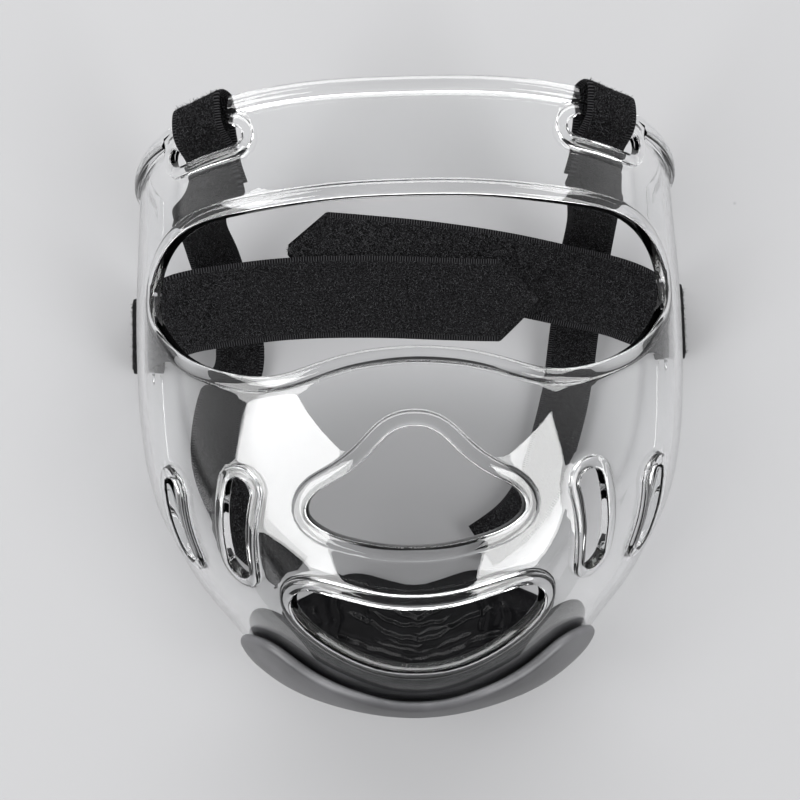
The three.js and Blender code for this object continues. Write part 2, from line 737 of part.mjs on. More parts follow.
function makeSideStrap(side, run, leaves) {
  const y = heightAt(sideSlotPlace.up);
  const layers = layersOf(sideBow);
  const leaving = [leaves / 2, leaves].map((past) => ({ turn: -past, layer: "first", lift: 0 }));
  const knots = [...sideLoop, ...leaving].map(({ turn, rise, layer, lift }) => {
    const atRim = rise !== undefined;
    const around = side * (atRim ? 90 : sideSlotPlace.around + turn);
    const point = place(around, y, layers[layer] + lift * tape);
    if (atRim) point.z = rise * reliefHeight;
    return { point, across: shellFrame(around, y).rise };
  });
  const free = runKnots(run, knots[knots.length - 1].across);
  return tapeSolid(clipEnd(tapeStations([...knots, ...free], sideTapeWidth, sideTapeStep)));
}

// Colours and finishes
const crease = 35;
const clear = { color: 0xeaf0f2, roughness: 0.06, metalness: 0, transparent: true, opacity: 0.35 };
const foamBlack = { color: 0x2e2f31, roughness: 0.35, metalness: 0 };
const padBlack = { color: 0x17181a, roughness: 0.45, metalness: 0 };
const tapeBlack = { color: 0x1c1d20, roughness: 0.95, metalness: 0 };

function meshOf(name, solid, finish) {
  const { vertProperties, triVerts } = solid.getMesh();
  const geometry = new THREE.BufferGeometry();
  geometry.setAttribute("position", new THREE.BufferAttribute(new Float32Array(vertProperties), 3));
  geometry.setIndex(new THREE.BufferAttribute(new Uint32Array(triVerts), 1));
  const creased = toCreasedNormals(geometry, THREE.MathUtils.degToRad(crease));
  const mesh = new THREE.Mesh(creased, new THREE.MeshStandardMaterial(finish));
  mesh.name = name;
  return mesh;
}

const faceShield = new THREE.Group();
faceShield.add(
  meshOf("face_shield", makeFaceShield(), clear),
  meshOf("chin_band", makeChinBand(), foamBlack),
  meshOf("chin_cup", makeChinCup(), padBlack),
  meshOf("top_strap_left", makeTopStrap(-1, topLeftRun), tapeBlack),
  meshOf("top_strap_right", makeTopStrap(1, topRightRun), tapeBlack),
  meshOf("side_strap_left", makeSideStrap(-1, sideLeftRun, sideLeaves.left), tapeBlack),
  meshOf("side_strap_right", makeSideStrap(1, sideRightRun, sideLeaves.right), tapeBlack),
);

// The origin is the middle of the resting plane
const bounds = new THREE.Box3().setFromObject(faceShield);
const middle = bounds.getCenter(new THREE.Vector3());
faceShield.children.forEach((mesh) => mesh.geometry.translate(-middle.x, -middle.y, -bounds.min.z));

export default faceShield;
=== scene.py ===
"""Clear face shield for a padded sports headgear, with its tape straps and foam chin pieces.

Lengths are in millimetres inside this file and become metres when a mesh is made. X runs across the
face, Y from the chin to the forehead and Z out of the face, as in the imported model.
"""
import logging
import math
from dataclasses import dataclass, field
from enum import Enum

import bpy
import numpy as np
from mathutils import Matrix, Vector
from mathutils.geometry import delaunay_2d_cdt


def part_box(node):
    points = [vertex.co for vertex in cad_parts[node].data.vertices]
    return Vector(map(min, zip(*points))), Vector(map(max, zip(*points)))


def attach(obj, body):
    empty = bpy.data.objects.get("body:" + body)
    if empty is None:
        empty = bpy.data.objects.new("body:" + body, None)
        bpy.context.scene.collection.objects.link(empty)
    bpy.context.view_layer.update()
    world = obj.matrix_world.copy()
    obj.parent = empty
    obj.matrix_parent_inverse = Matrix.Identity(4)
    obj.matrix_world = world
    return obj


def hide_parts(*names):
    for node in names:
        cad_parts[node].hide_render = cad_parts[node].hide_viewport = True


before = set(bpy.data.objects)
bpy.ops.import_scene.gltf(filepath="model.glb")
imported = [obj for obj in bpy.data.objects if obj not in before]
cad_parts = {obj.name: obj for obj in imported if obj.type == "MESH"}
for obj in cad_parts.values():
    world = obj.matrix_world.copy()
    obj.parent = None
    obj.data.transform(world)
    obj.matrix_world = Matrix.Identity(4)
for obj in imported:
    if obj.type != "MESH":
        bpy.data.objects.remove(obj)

MM = 0.001
BODY = "root"
SMALL_STEP = 0.05
LOG = logging.getLogger("face_shield")

Array = np.ndarray


# Numbers and curves

def unit(vectors: Array) -> Array:
    """Vectors scaled to length one."""
    return vectors / np.maximum(np.linalg.norm(vectors, axis=-1, keepdims=True), 1e-12)


def smooth_step(low: float, high: float, value: Array) -> Array:
    """0 below low, 1 above high, and 3t^2 - 2t^3 between them."""
    share = np.clip((value - low) / (high - low), 0.0, 1.0)
    return share * share * (3.0 - 2.0 * share)


class SmoothTable:
    """Natural cubic spline through each column of a table, whose first column is the key."""

    def __init__(self, rows: Array) -> None:
        """Solves for the second derivatives at the knots.

        Args:
            rows: one row a knot, with the key first.
        """
        table = np.asarray(rows, float)
        self.keys, self.values = table[:, 0], table[:, 1:]
        count = len(self.keys)
        step = np.diff(self.keys)
        matrix = np.eye(count)
        right = np.zeros_like(self.values)
        inner = np.arange(1, count - 1)
        matrix[inner, inner - 1] = step[:-1]
        matrix[inner, inner] = 2.0 * (step[:-1] + step[1:])
        matrix[inner, inner + 1] = step[1:]
        right[1:-1] = 6.0 * np.diff(np.diff(self.values, axis=0) / step[:, None], axis=0)
        self.bend = np.linalg.solve(matrix, right)

    def at(self, key: Array) -> Array:
        """Values at keys, held at the ends.

        Args:
            key: places in the key column, of any shape.

        Returns:
            The same shape with one more axis, a value for each column.
        """
        key = np.clip(np.asarray(key, float), self.keys[0], self.keys[-1])
        i = np.clip(np.searchsorted(self.keys, key) - 1, 0, len(self.keys) - 2)
        step = self.keys[i + 1] - self.keys[i]
        after = ((key - self.keys[i]) / step)[..., None]
        before = 1.0 - after
        bend = (before**3 - before) * self.bend[i] + (after**3 - after) * self.bend[i + 1]
        return before * self.values[i] + after * self.values[i + 1] + bend * (step * step)[..., None] / 6.0


def edge_drop(distance: Array, radius: float) -> Array:
    """How far a rounded edge lies below the flat face at a distance from it."""
    return radius * (1.0 - np.sqrt(1.0 - (1.0 - np.clip(distance / radius, 0, 1)) ** 2))


def along(points: Array) -> Array:
    """Length of a line up to each of its points."""
    steps = np.linalg.norm(np.diff(points, axis=0), axis=1)
    return np.concatenate([[0.0], np.cumsum(steps)])


def ribbon_quads(rows: int, columns: int, closed: bool) -> Array:
    """Quads between the rows of a grid of points numbered row by row.

    Args:
        rows: number of rows.
        columns: points in a row.
        closed: whether a row's last point joins its first.
    """
    i = np.arange(rows - 1)[:, None]
    j = np.arange(columns if closed else columns - 1)[None, :]
    k = (j + 1) % columns
    quads = np.stack(np.broadcast_arrays(i * columns + j, i * columns + k, (i + 1) * columns + k,
                                         (i + 1) * columns + j), axis=-1)
    return quads.reshape(-1, 4)


# Shape of the shell

@dataclass(frozen=True)
class ShellForm:
    """The moulded shell as a function of the angle round it and the height up it."""

    width: float = 216.0
    height: float = 222.0
    depth: float = 114.0
    wall: float = 2.4
    chin_reach: float = 113.0
    lift: float = 0.0
    sections: SmoothTable = field(default_factory=lambda: SmoothTable([
        # share of the height, of half the width, of the depth, and how square the section is
        (0.000, 0.444, 0.530, -0.020),
        (0.032, 0.537, 0.667, -0.020),
        (0.068, 0.620, 0.754, -0.020),
        (0.122, 0.708, 0.860, -0.020),
        (0.180, 0.800, 0.939, -0.015),
        (0.248, 0.880, 0.982, -0.005),
        (0.306, 0.935, 1.000, 0.010),
        (0.419, 0.986, 0.991, 0.035),
        (0.554, 1.000, 0.939, 0.050),
        (0.712, 0.995, 0.886, 0.055),
        (0.869, 0.977, 0.846, 0.055),
        (1.012, 0.972, 0.803, 0.055)]))
    top_edge: SmoothTable = field(default_factory=lambda: SmoothTable([
        # degrees from the front, share of the height
        (0.0, 1.009), (15.0, 1.006), (25.0, 0.997), (30.0, 0.990), (35.0, 0.979), (40.0, 0.967),
        (45.0, 0.954), (52.0, 0.939), (60.0, 0.922), (70.0, 0.908), (90.0, 0.897)]))
    lower_edge: SmoothTable = field(default_factory=lambda: SmoothTable([
        # degrees from the front, share of the height
        (0.0, 0.002), (20.0, 0.007), (40.0, 0.018), (61.0, 0.036), (72.0, 0.072),
        (78.5, 0.122), (84.7, 0.180), (88.5, 0.248), (90.0, 0.297)]))

    def level(self, up: Array) -> Array:
        """Height in millimetres of a share of the shell's height."""
        return np.asarray(up, float) * self.height - self.chin_reach

    @property
    def brow(self) -> float:
        """Highest height that the sections reach."""
        return float(self.level(self.sections.keys[-1]))

    def point(self, around: Array, level: Array) -> Array:
        """Points of the outer face: an ellipse whose third harmonic makes it more or less square.

        Args:
            around: degrees from the front, positive to the wearer's left.
            level: height in millimetres.

        Returns:
            Points in millimetres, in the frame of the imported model.
        """
        around, level = np.broadcast_arrays(np.asarray(around, float), np.asarray(level, float))
        half, deep, square = np.moveaxis(self.sections.at((level + self.chin_reach) / self.height), -1, 0)
        turn = np.radians(around)
        x = half * self.width / 2.0 * (np.sin(turn) + square * np.sin(3.0 * turn)) / (1.0 - square)
        z = deep * self.depth * (np.cos(turn) - square * np.cos(3.0 * turn)) / (1.0 - square)
        return np.stack([x, level + self.lift, z], axis=-1)

    def frame(self, around: Array, level: Array) -> tuple[Array, Array, Array]:
        """Unit steps round the shell, up it and out of it, from central differences."""
        step = SMALL_STEP
        low = np.maximum(level - step, self.level(0.0))
        high = np.minimum(level + step, self.brow)
        side = unit(self.point(around + step, level) - self.point(around - step, level))
        rise = unit(self.point(around, high) - self.point(around, low))
        return side, rise, unit(np.cross(side, rise))

    def top(self, around: Array) -> Array:
        """Height of the top edge."""
        return self.level(self.top_edge.at(np.abs(around))[..., 0])

    def bottom(self, around: Array) -> Array:
        """Height of the lower edge."""
        return self.level(self.lower_edge.at(np.abs(around))[..., 0])

    def place(self, around: Array, level: Array, off: Array) -> Array:
        """Points at a distance off the outer face, carried straight on past an edge."""
        around, level, off = np.broadcast_arrays(np.asarray(around, float), np.asarray(level, float),
                                                 np.asarray(off, float))
        held = np.clip(level, self.bottom(around), self.top(around))
        _, rise, out = self.frame(around, held)
        past = (level - held)[..., None]
        ahead = np.where(past > 0.0, np.array([0.0, 1.0, 0.0]), rise)
        return self.point(around, held) + out * off[..., None] + ahead * past

    def shift(self, around: Array, level: Array, step: Array) -> tuple[Array, Array]:
        """Angle and height that a tangent step in millimetres leads to, from the two edge vectors.

        Args:
            around: degrees from the front.
            level: height in millimetres.
            step: vectors that lie in the surface.
        """
        small = SMALL_STEP
        held = np.clip(level, self.level(0.0) + small, self.brow - small)
        one = (self.point(around + small, held) - self.point(around - small, held)) / (2.0 * small)
        two = (self.point(around, held + small) - self.point(around, held - small)) / (2.0 * small)
        aa, ab, bb = (one * one).sum(-1), (one * two).sum(-1), (two * two).sum(-1)
        pa, pb = (step * one).sum(-1), (step * two).sum(-1)
        scale = aa * bb - ab * ab
        return around + (pa * bb - pb * ab) / scale, level + (pb * aa - pa * ab) / scale


@dataclass(frozen=True)
class StrapSlot:
    """Place of a strap's slot: degrees from the front, share of the height, lean and half its length."""

    around: float
    up: float
    lean: float
    half: float

    def ends(self) -> list[tuple[float, float]]:
        """Centres of the slot's round ends as (degrees, share of the height)."""
        form = ShellForm()
        level = form.level(self.up)
        per_degree = np.linalg.norm(form.point(self.around + 0.5, level)
                                    - form.point(self.around - 0.5, level))
        across = self.half * math.cos(self.lean) / per_degree
        rise = self.half * math.sin(self.lean) / form.height
        return [(self.around - across, self.up + rise), (self.around + across, self.up - rise)]


TOP_SLOT = StrapSlot(35.5, 0.917, math.radians(13.0), 11.0)
SIDE_SLOT = StrapSlot(80.0, 0.638, -math.pi / 2.0, 16.0)
RELIEF = 3.0
RIM_BEAD = 2.2


# Finishes

def new_material(name: str) -> tuple[bpy.types.Material, "NodeBench", bpy.types.Node]:
    """Material with a Principled shader.

    Returns:
        The material, the bench for its nodes and its shader node.
    """
    material = bpy.data.materials.new(name)
    material.use_nodes = True
    return material, NodeBench(material.node_tree), material.node_tree.nodes["Principled BSDF"]


def fill_in(node: bpy.types.Node, **settings: object) -> None:
    """Sets a node's attributes by name and the rest as inputs, with underscores for spaces."""
    for name, value in settings.items():
        if hasattr(node, name):
            setattr(node, name, value)
        else:
            node.inputs[name.replace("_", " ")].default_value = value


class NodeBench:
    """Adds and links the nodes of one tree."""

    def __init__(self, tree: bpy.types.NodeTree) -> None:
        """Keeps the tree."""
        self.tree = tree

    def add(self, kind: str, **settings: object) -> bpy.types.Node:
        """New node.

        Args:
            kind: node type without its ShaderNode.
            settings: as for fill_in.
        """
        node = self.tree.nodes.new("ShaderNode" + kind)
        fill_in(node, **settings)
        return node

    def link(self, *wires: tuple) -> None:
        """Joins outputs to inputs: a wire is node, output, node, input, each end by name or number."""
        for source, out, target, into in wires:
            self.tree.links.new(source.outputs[out], target.inputs[into])

    def ramp(self, low: float, high: float, dark: tuple, light: tuple) -> bpy.types.Node:
        """Colour ramp from dark at low to light at high."""
        node = self.add("ValToRGB")
        for stop, place, colour in zip(node.color_ramp.elements, (low, high), (dark, light)):
            stop.position = place
            stop.color = (*colour, 1.0)
        return node


@dataclass(frozen=True)
class ClearPlastic:
    """Polished clear polycarbonate. Light on its way to or from a matt surface passes straight through."""

    name: str = "clear_polycarbonate"
    tint: tuple = (0.985, 0.99, 0.99)
    ior: float = 1.585
    shade: tuple = (0.965, 0.967, 0.97)

    def make(self) -> bpy.types.Material:
        """Glass shader, with a tinted Transparent shader for shadow rays and diffuse rays."""
        material, bench, glass = new_material(self.name)
        fill_in(glass, Base_Color=(*self.tint, 1.0), Transmission_Weight=1.0, IOR=self.ior, Roughness=0.0)
        veil = bench.add("BsdfTransparent", Color=(*self.shade, 1.0))
        path = bench.add("LightPath")
        straight = bench.add("Math", operation="MAXIMUM")
        mix = bench.add("MixShader")
        output = material.node_tree.nodes["Material Output"]
        bench.link((path, "Is Shadow Ray", straight, 0), (path, "Is Diffuse Ray", straight, 1),
                   (straight, "Value", mix, "Fac"), (glass, 0, mix, 1), (veil, 0, mix, 2),
                   (mix, "Shader", output, "Surface"))
        return material


@dataclass(frozen=True)
class SatinFoam:
    """Smooth-skinned closed-cell foam: dark, satin, with a faint mottle and fine pores, and a near-black
    painted shade on its inner leg.
    """

    name: str = "satin_foam"
    dark: tuple = (0.056, 0.056, 0.059)
    light: tuple = (0.095, 0.095, 0.1)
    # Painted shade: near-black tone of the inner leg, which lies in shade behind the shell.
    inner: tuple = (0.004, 0.004, 0.0045)
    roughness: float = 0.42
    uneven: float = 0.06
    gloss: tuple = (0.02, 0.5)
    pore_scale: float = 1800.0
    mottle_scale: float = 45.0

    def make(self) -> bpy.types.Material:
        """Noise mottles the colour and the roughness, and finer noise is the pores.

        An attribute, 1 on the outer face and 0 on the inner leg, picks between the foam's own tones and a
        near-black painted shade on the inner leg, and lowers the specular level there.
        """
        material, bench, shader = new_material(self.name)
        place = bench.add("TexCoord")
        mottle = bench.add("TexNoise", Scale=self.mottle_scale, Detail=4.0)
        pores = bench.add("TexNoise", Scale=self.pore_scale, Detail=2.0)
        tone = bench.ramp(0.35, 0.7, self.dark, self.light)
        rough = bench.add("MapRange", To_Min=self.roughness - self.uneven,
                          To_Max=self.roughness + self.uneven)
        bump = bench.add("Bump", Strength=0.12, Distance=0.0001)
        # Painted shade mask: 0 on the inner leg, which takes the near-black painted shade, 1 on the outer
        # face.
        skin = bench.add("Attribute", attribute_name="skin")
        inner_shade_mix = bench.add("Mix", data_type="RGBA")
        inner_shade_mix.inputs[6].default_value = (*self.inner, 1.0)
        gloss = bench.add("MapRange", To_Min=self.gloss[0], To_Max=self.gloss[1])
        bench.link((place, "Object", mottle, "Vector"), (place, "Object", pores, "Vector"),
                   (mottle, "Fac", tone, "Fac"), (skin, "Fac", inner_shade_mix, "Factor"), (tone, "Color", inner_shade_mix, 7),
                   (inner_shade_mix, 2, shader, "Base Color"), (skin, "Fac", gloss, "Value"),
                   (gloss, "Result", shader, "Specular IOR Level"), (mottle, "Fac", rough, "Value"),
                   (rough, "Result", shader, "Roughness"), (pores, "Fac", bump, "Height"),
                   (bump, "Normal", shader, "Normal"))
        return material


@dataclass(frozen=True)
class PadLeather:
    """Thin creased artificial leather on the chin cup."""

    name: str = "creased_leather"
    dark: tuple = (0.0015, 0.0015, 0.0017)
    light: tuple = (0.005, 0.005, 0.0055)
    roughness: tuple = (0.12, 0.3)
    specular: float = 0.11
    grain_scale: float = 900.0
    crease_scale: float = 160.0

    def make(self) -> bpy.types.Material:
        """Cells are the grain, stretched noise the small creases between the modelled folds."""
        material, bench, shader = new_material(self.name)
        place = bench.add("TexCoord")
        grain = bench.add("TexVoronoi", Scale=self.grain_scale)
        crease = bench.add("TexNoise", Scale=self.crease_scale, Detail=5.0, Distortion=0.8)
        tone = bench.ramp(0.3, 0.75, self.dark, self.light)
        rough = bench.add("MapRange", To_Min=self.roughness[0], To_Max=self.roughness[1])
        coarse = bench.add("Bump", Strength=0.3, Distance=0.0006)
        fine = bench.add("Bump", Strength=0.08, Distance=0.0001)
        fill_in(shader, Specular_IOR_Level=self.specular)
        bench.link((place, "Object", grain, "Vector"), (place, "Object", crease, "Vector"),
                   (crease, "Fac", tone, "Fac"), (tone, "Color", shader, "Base Color"),
                   (crease, "Fac", rough, "Value"), (rough, "Result", shader, "Roughness"),
                   (crease, "Fac", coarse, "Height"), (grain, "Distance", fine, "Height"),
                   (coarse, "Normal", fine, "Normal"), (fine, "Normal", shader, "Normal"))
        return material


@dataclass(frozen=True)
class LoopTape:
    """Black loop tape: a matted pile between two ribbed woven edges."""

    name: str = "loop_tape"
    dark: tuple = (0.0006, 0.0006, 0.0007)
    light: tuple = (0.019, 0.019, 0.02)
    rib_dark: tuple = (0.001, 0.001, 0.0011)
    rib_light: tuple = (0.026, 0.026, 0.0275)
    rib_pitch: float = 0.9
    pile_scale: float = 1300.0
    patch_scale: float = 2600.0
    sheen: float = 0.008

    def make(self) -> bpy.types.Material:
        """Two noises mix the pile's tones, a sine of the tape's own length makes the ribs.

        The piece carries two attributes: tape_along, in millimetres, and tape_edge, 1 on a woven edge.
        """
        material, bench, shader = new_material(self.name)
        place = bench.add("TexCoord")
        pile = bench.add("TexNoise", Scale=self.pile_scale, Detail=3.0, Roughness=0.7)
        patch = bench.add("TexNoise", Scale=self.patch_scale, Detail=3.0)
        mixed = bench.add("Math", operation="MULTIPLY")
        tone = bench.ramp(0.22, 0.36, self.dark, self.light)
        length = bench.add("Attribute", attribute_name="tape_along")
        edge = bench.add("Attribute", attribute_name="tape_edge")
        turn = bench.add("Math", operation="MULTIPLY")
        turn.inputs[1].default_value = 2.0 * math.pi / self.rib_pitch
        wave = bench.add("Math", operation="SINE")
        rib = bench.add("MapRange", From_Min=-1.0, From_Max=1.0)
        rib_tone = bench.ramp(0.35, 0.9, self.rib_dark, self.rib_light)
        colour = bench.add("Mix", data_type="RGBA")
        height = bench.add("Mix", data_type="FLOAT")
        bump = bench.add("Bump", Strength=0.9, Distance=0.0003)
        fill_in(shader, Roughness=0.9, Specular_IOR_Level=0.03, Sheen_Weight=self.sheen)
        bench.link((place, "Object", pile, "Vector"), (place, "Object", patch, "Vector"),
                   (pile, "Fac", mixed, 0), (patch, "Fac", mixed, 1), (mixed, "Value", tone, "Fac"),
                   (length, "Fac", turn, 0), (turn, 0, wave, 0), (wave, "Value", rib, "Value"),
                   (rib, "Result", rib_tone, "Fac"), (edge, "Fac", colour, "Factor"),
                   (tone, "Color", colour, 6), (rib_tone, "Color", colour, 7),
                   (colour, 2, shader, "Base Color"), (edge, "Fac", height, "Factor"),
                   (pile, "Fac", height, 2), (rib, "Result", height, 3), (height, 0, bump, "Height"),
                   (bump, "Normal", shader, "Normal"))
        return material


@dataclass(frozen=True)
class LoopFibre:
    """Nylon fibres of the pile, each with its own tone."""

    name: str = "loop_fibre"
    dark: tuple = (0.0015, 0.0015, 0.0017)
    light: tuple = (0.07, 0.07, 0.074)

    def make(self) -> bpy.types.Material:
        """The attribute fibre_tone, 0 to 1, picks the tone."""
        material, bench, shader = new_material(self.name)
        tone = bench.add("Attribute", attribute_name="fibre_tone")
        ramp = bench.ramp(0.1, 1.0, self.dark, self.light)
        fill_in(shader, Roughness=0.6, Specular_IOR_Level=0.12)
        bench.link((tone, "Fac", ramp, "Fac"), (ramp, "Color", shader, "Base Color"))
        return material


@dataclass(frozen=True)
class TableTop:
    """Pale matt table with a few specks and a soft painted shade of the face shield on it."""

    name: str = "pale_table"
    pale: tuple = (0.3, 0.3, 0.305)
    speck: tuple = (0.16, 0.16, 0.164)
    roughness: float = 0.75
    painted_shade_at: tuple = (0.0, 0.54, 0.0)
    painted_shade_size: tuple = (9.5, 15.0, 1.0)
    painted_shade_tone: float = 0.64

    def make(self) -> bpy.types.Material:
        """The middles of a Voronoi texture's cells are the specks, and a soft ball under the shield is a
        painted shade that darkens the floor's colour there.
        """
        material, bench, shader = new_material(self.name)
        place = bench.add("TexCoord")
        cells = bench.add("TexVoronoi", Scale=14.0)
        mask = bench.ramp(0.012, 0.02, self.speck, self.pale)
        # Painted shade: a soft ball under the shield's front scales the floor's colour down, standing in for
        # the shell's shadow.
        under = bench.add("Mapping", Location=self.painted_shade_at, Scale=self.painted_shade_size)
        ball = bench.add("TexGradient", gradient_type="SPHERICAL")
        lost = bench.add("MapRange", interpolation_type="SMOOTHSTEP", From_Max=0.55, To_Min=1.0,
                         To_Max=self.painted_shade_tone)
        shaded = bench.add("VectorMath", operation="SCALE")
        fill_in(shader, Roughness=self.roughness, Specular_IOR_Level=0.25)
        bench.link((place, "Object", cells, "Vector"), (cells, "Distance", mask, "Fac"),
                   (place, "Object", under, "Vector"), (under, "Vector", ball, "Vector"),
                   (ball, "Fac", lost, "Value"), (mask, "Color", shaded, 0),
                   (lost, "Result", shaded, "Scale"), (shaded, "Vector", shader, "Base Color"))
        return material


@dataclass(frozen=True)
class BlackCard:
    """Matt black card."""

    name: str = "black_card"
    tone: tuple = (0.003, 0.003, 0.003)

    def make(self) -> bpy.types.Material:
        """Even black without gloss."""
        material, _, shader = new_material(self.name)
        fill_in(shader, Base_Color=(*self.tone, 1.0), Specular_IOR_Level=0.0)
        return material


# Pieces

def placed(name: str, data: bpy.types.ID) -> bpy.types.Object:
    """New object in the scene for a mesh, a light or a camera."""
    thing = bpy.data.objects.new(name, data)
    bpy.context.scene.collection.objects.link(thing)
    return thing


def make_piece(name: str, points: Array, faces: list, material: bpy.types.Material, slot: str,
               **values: Array) -> bpy.types.Object:
    """Mesh object in metres that rides on the body, shaded smooth.

    Args:
        name: object name.
        points: corners in millimetres.
        faces: arrays of corner numbers.
        material: finish.
        slot: not used.
        values: one number a point for each named attribute.
    """
    mesh = bpy.data.meshes.new(name)
    mesh.from_pydata((points * MM).tolist(), [], [row for part in faces for row in part.tolist()])
    for label, numbers in values.items():
        data = mesh.attributes.new(label, "FLOAT", "POINT")
        data.data.foreach_set("value", np.asarray(numbers, np.float32))
    mesh.polygons.foreach_set("use_smooth", np.ones(len(mesh.polygons), bool))
    mesh.materials.append(material)
    mesh.update()
    piece = placed(name, mesh)
    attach(piece, BODY)
    LOG.info("%s: %d faces", name, len(mesh.polygons))
    return piece


@dataclass(frozen=True)
class Bead:
    """Raised round ridge: half its width, how far it stands out, and where its middle lies."""

    half: float
    out: float
    middle: float
    power: float = 3.4
    foot_share: float = 0.16
    foot_width: float = 0.35

    def lift(self, inward: Array) -> Array:
        """Height over the wall: a superellipse with a small fillet at its foot.

        Args:
            inward: distance from the edge that the bead follows.
        """
        share = np.clip(np.abs(inward - self.middle) / self.half, 0.0, 1.0)
        body = self.out * (1.0 - share**self.power) ** (1.0 / self.power)
        past = np.maximum(inward - self.middle - self.half, 0.0)
        foot = self.foot_share * self.out * np.exp(-past / self.foot_width)
        reached = (inward > self.middle) & (inward < self.rings()[-1] - 0.01)
        return np.maximum(body, np.where(reached, foot, 0.0))

    def rings(self) -> Array:
        """Distances from the edge at which the ridge is sampled."""
        turns = np.cos(np.radians(np.array([150, 125, 105, 90, 75, 55, 38, 25, 14, 5, 0.0])))
        over = self.middle - self.half * -turns
        over = over[over > 0.3]
        foot = self.middle + self.half + np.array([0.15, 0.45, 0.9])
        return np.concatenate([[0.0, 0.1, 0.3], over[over > 0.32], foot])


class Net:
    """Points of the shell's net part by part, as (degrees, millimetres), with the heights of both faces."""

    def __init__(self) -> None:
        """Starts empty."""
        self.places: list[Array] = []
        self.lifts: list[Array] = []
        self.sinks: list[Array] = []
        self.quads: list[Array] = []
        self.borders: list[Array] = []
        self.seams: list[Array] = []
        self.chains: list[Array] = []
        self.count = 0

    def add_points(self, flat: Array, lift: Array, sink: Array) -> Array:
        """Keeps points and returns their numbers."""
        number = np.arange(len(flat)) + self.count
        self.places.append(flat)
        self.lifts.append(lift + np.zeros(len(flat)))
        self.sinks.append(sink + np.zeros(len(flat)))
        self.count += len(flat)
        return number

    def add_rings(self, grid: Array, lift: Array, sink: Array) -> None:
        """Keeps rings of quads, whose first row is a seam of the wall and whose last bounds the net.

        Args:
            grid: an array (ring, point, 2).
            lift: height of the outer face at each ring.
            sink: depth of the inner face at each ring.
        """
        rows, columns = grid.shape[:2]
        self.quads.append(ribbon_quads(rows, columns, True) + self.count)
        number = self.add_points(grid.reshape(-1, 2), np.repeat(lift, columns), np.repeat(sink, columns))
        self.seams.append(number[:columns])
        self.borders.append(number[-columns:])

    def add_chain(self, flat: Array) -> None:
        """Keeps an open line that the net has to follow."""
        self.chains.append(self.add_points(flat, 0.0, 0.0))


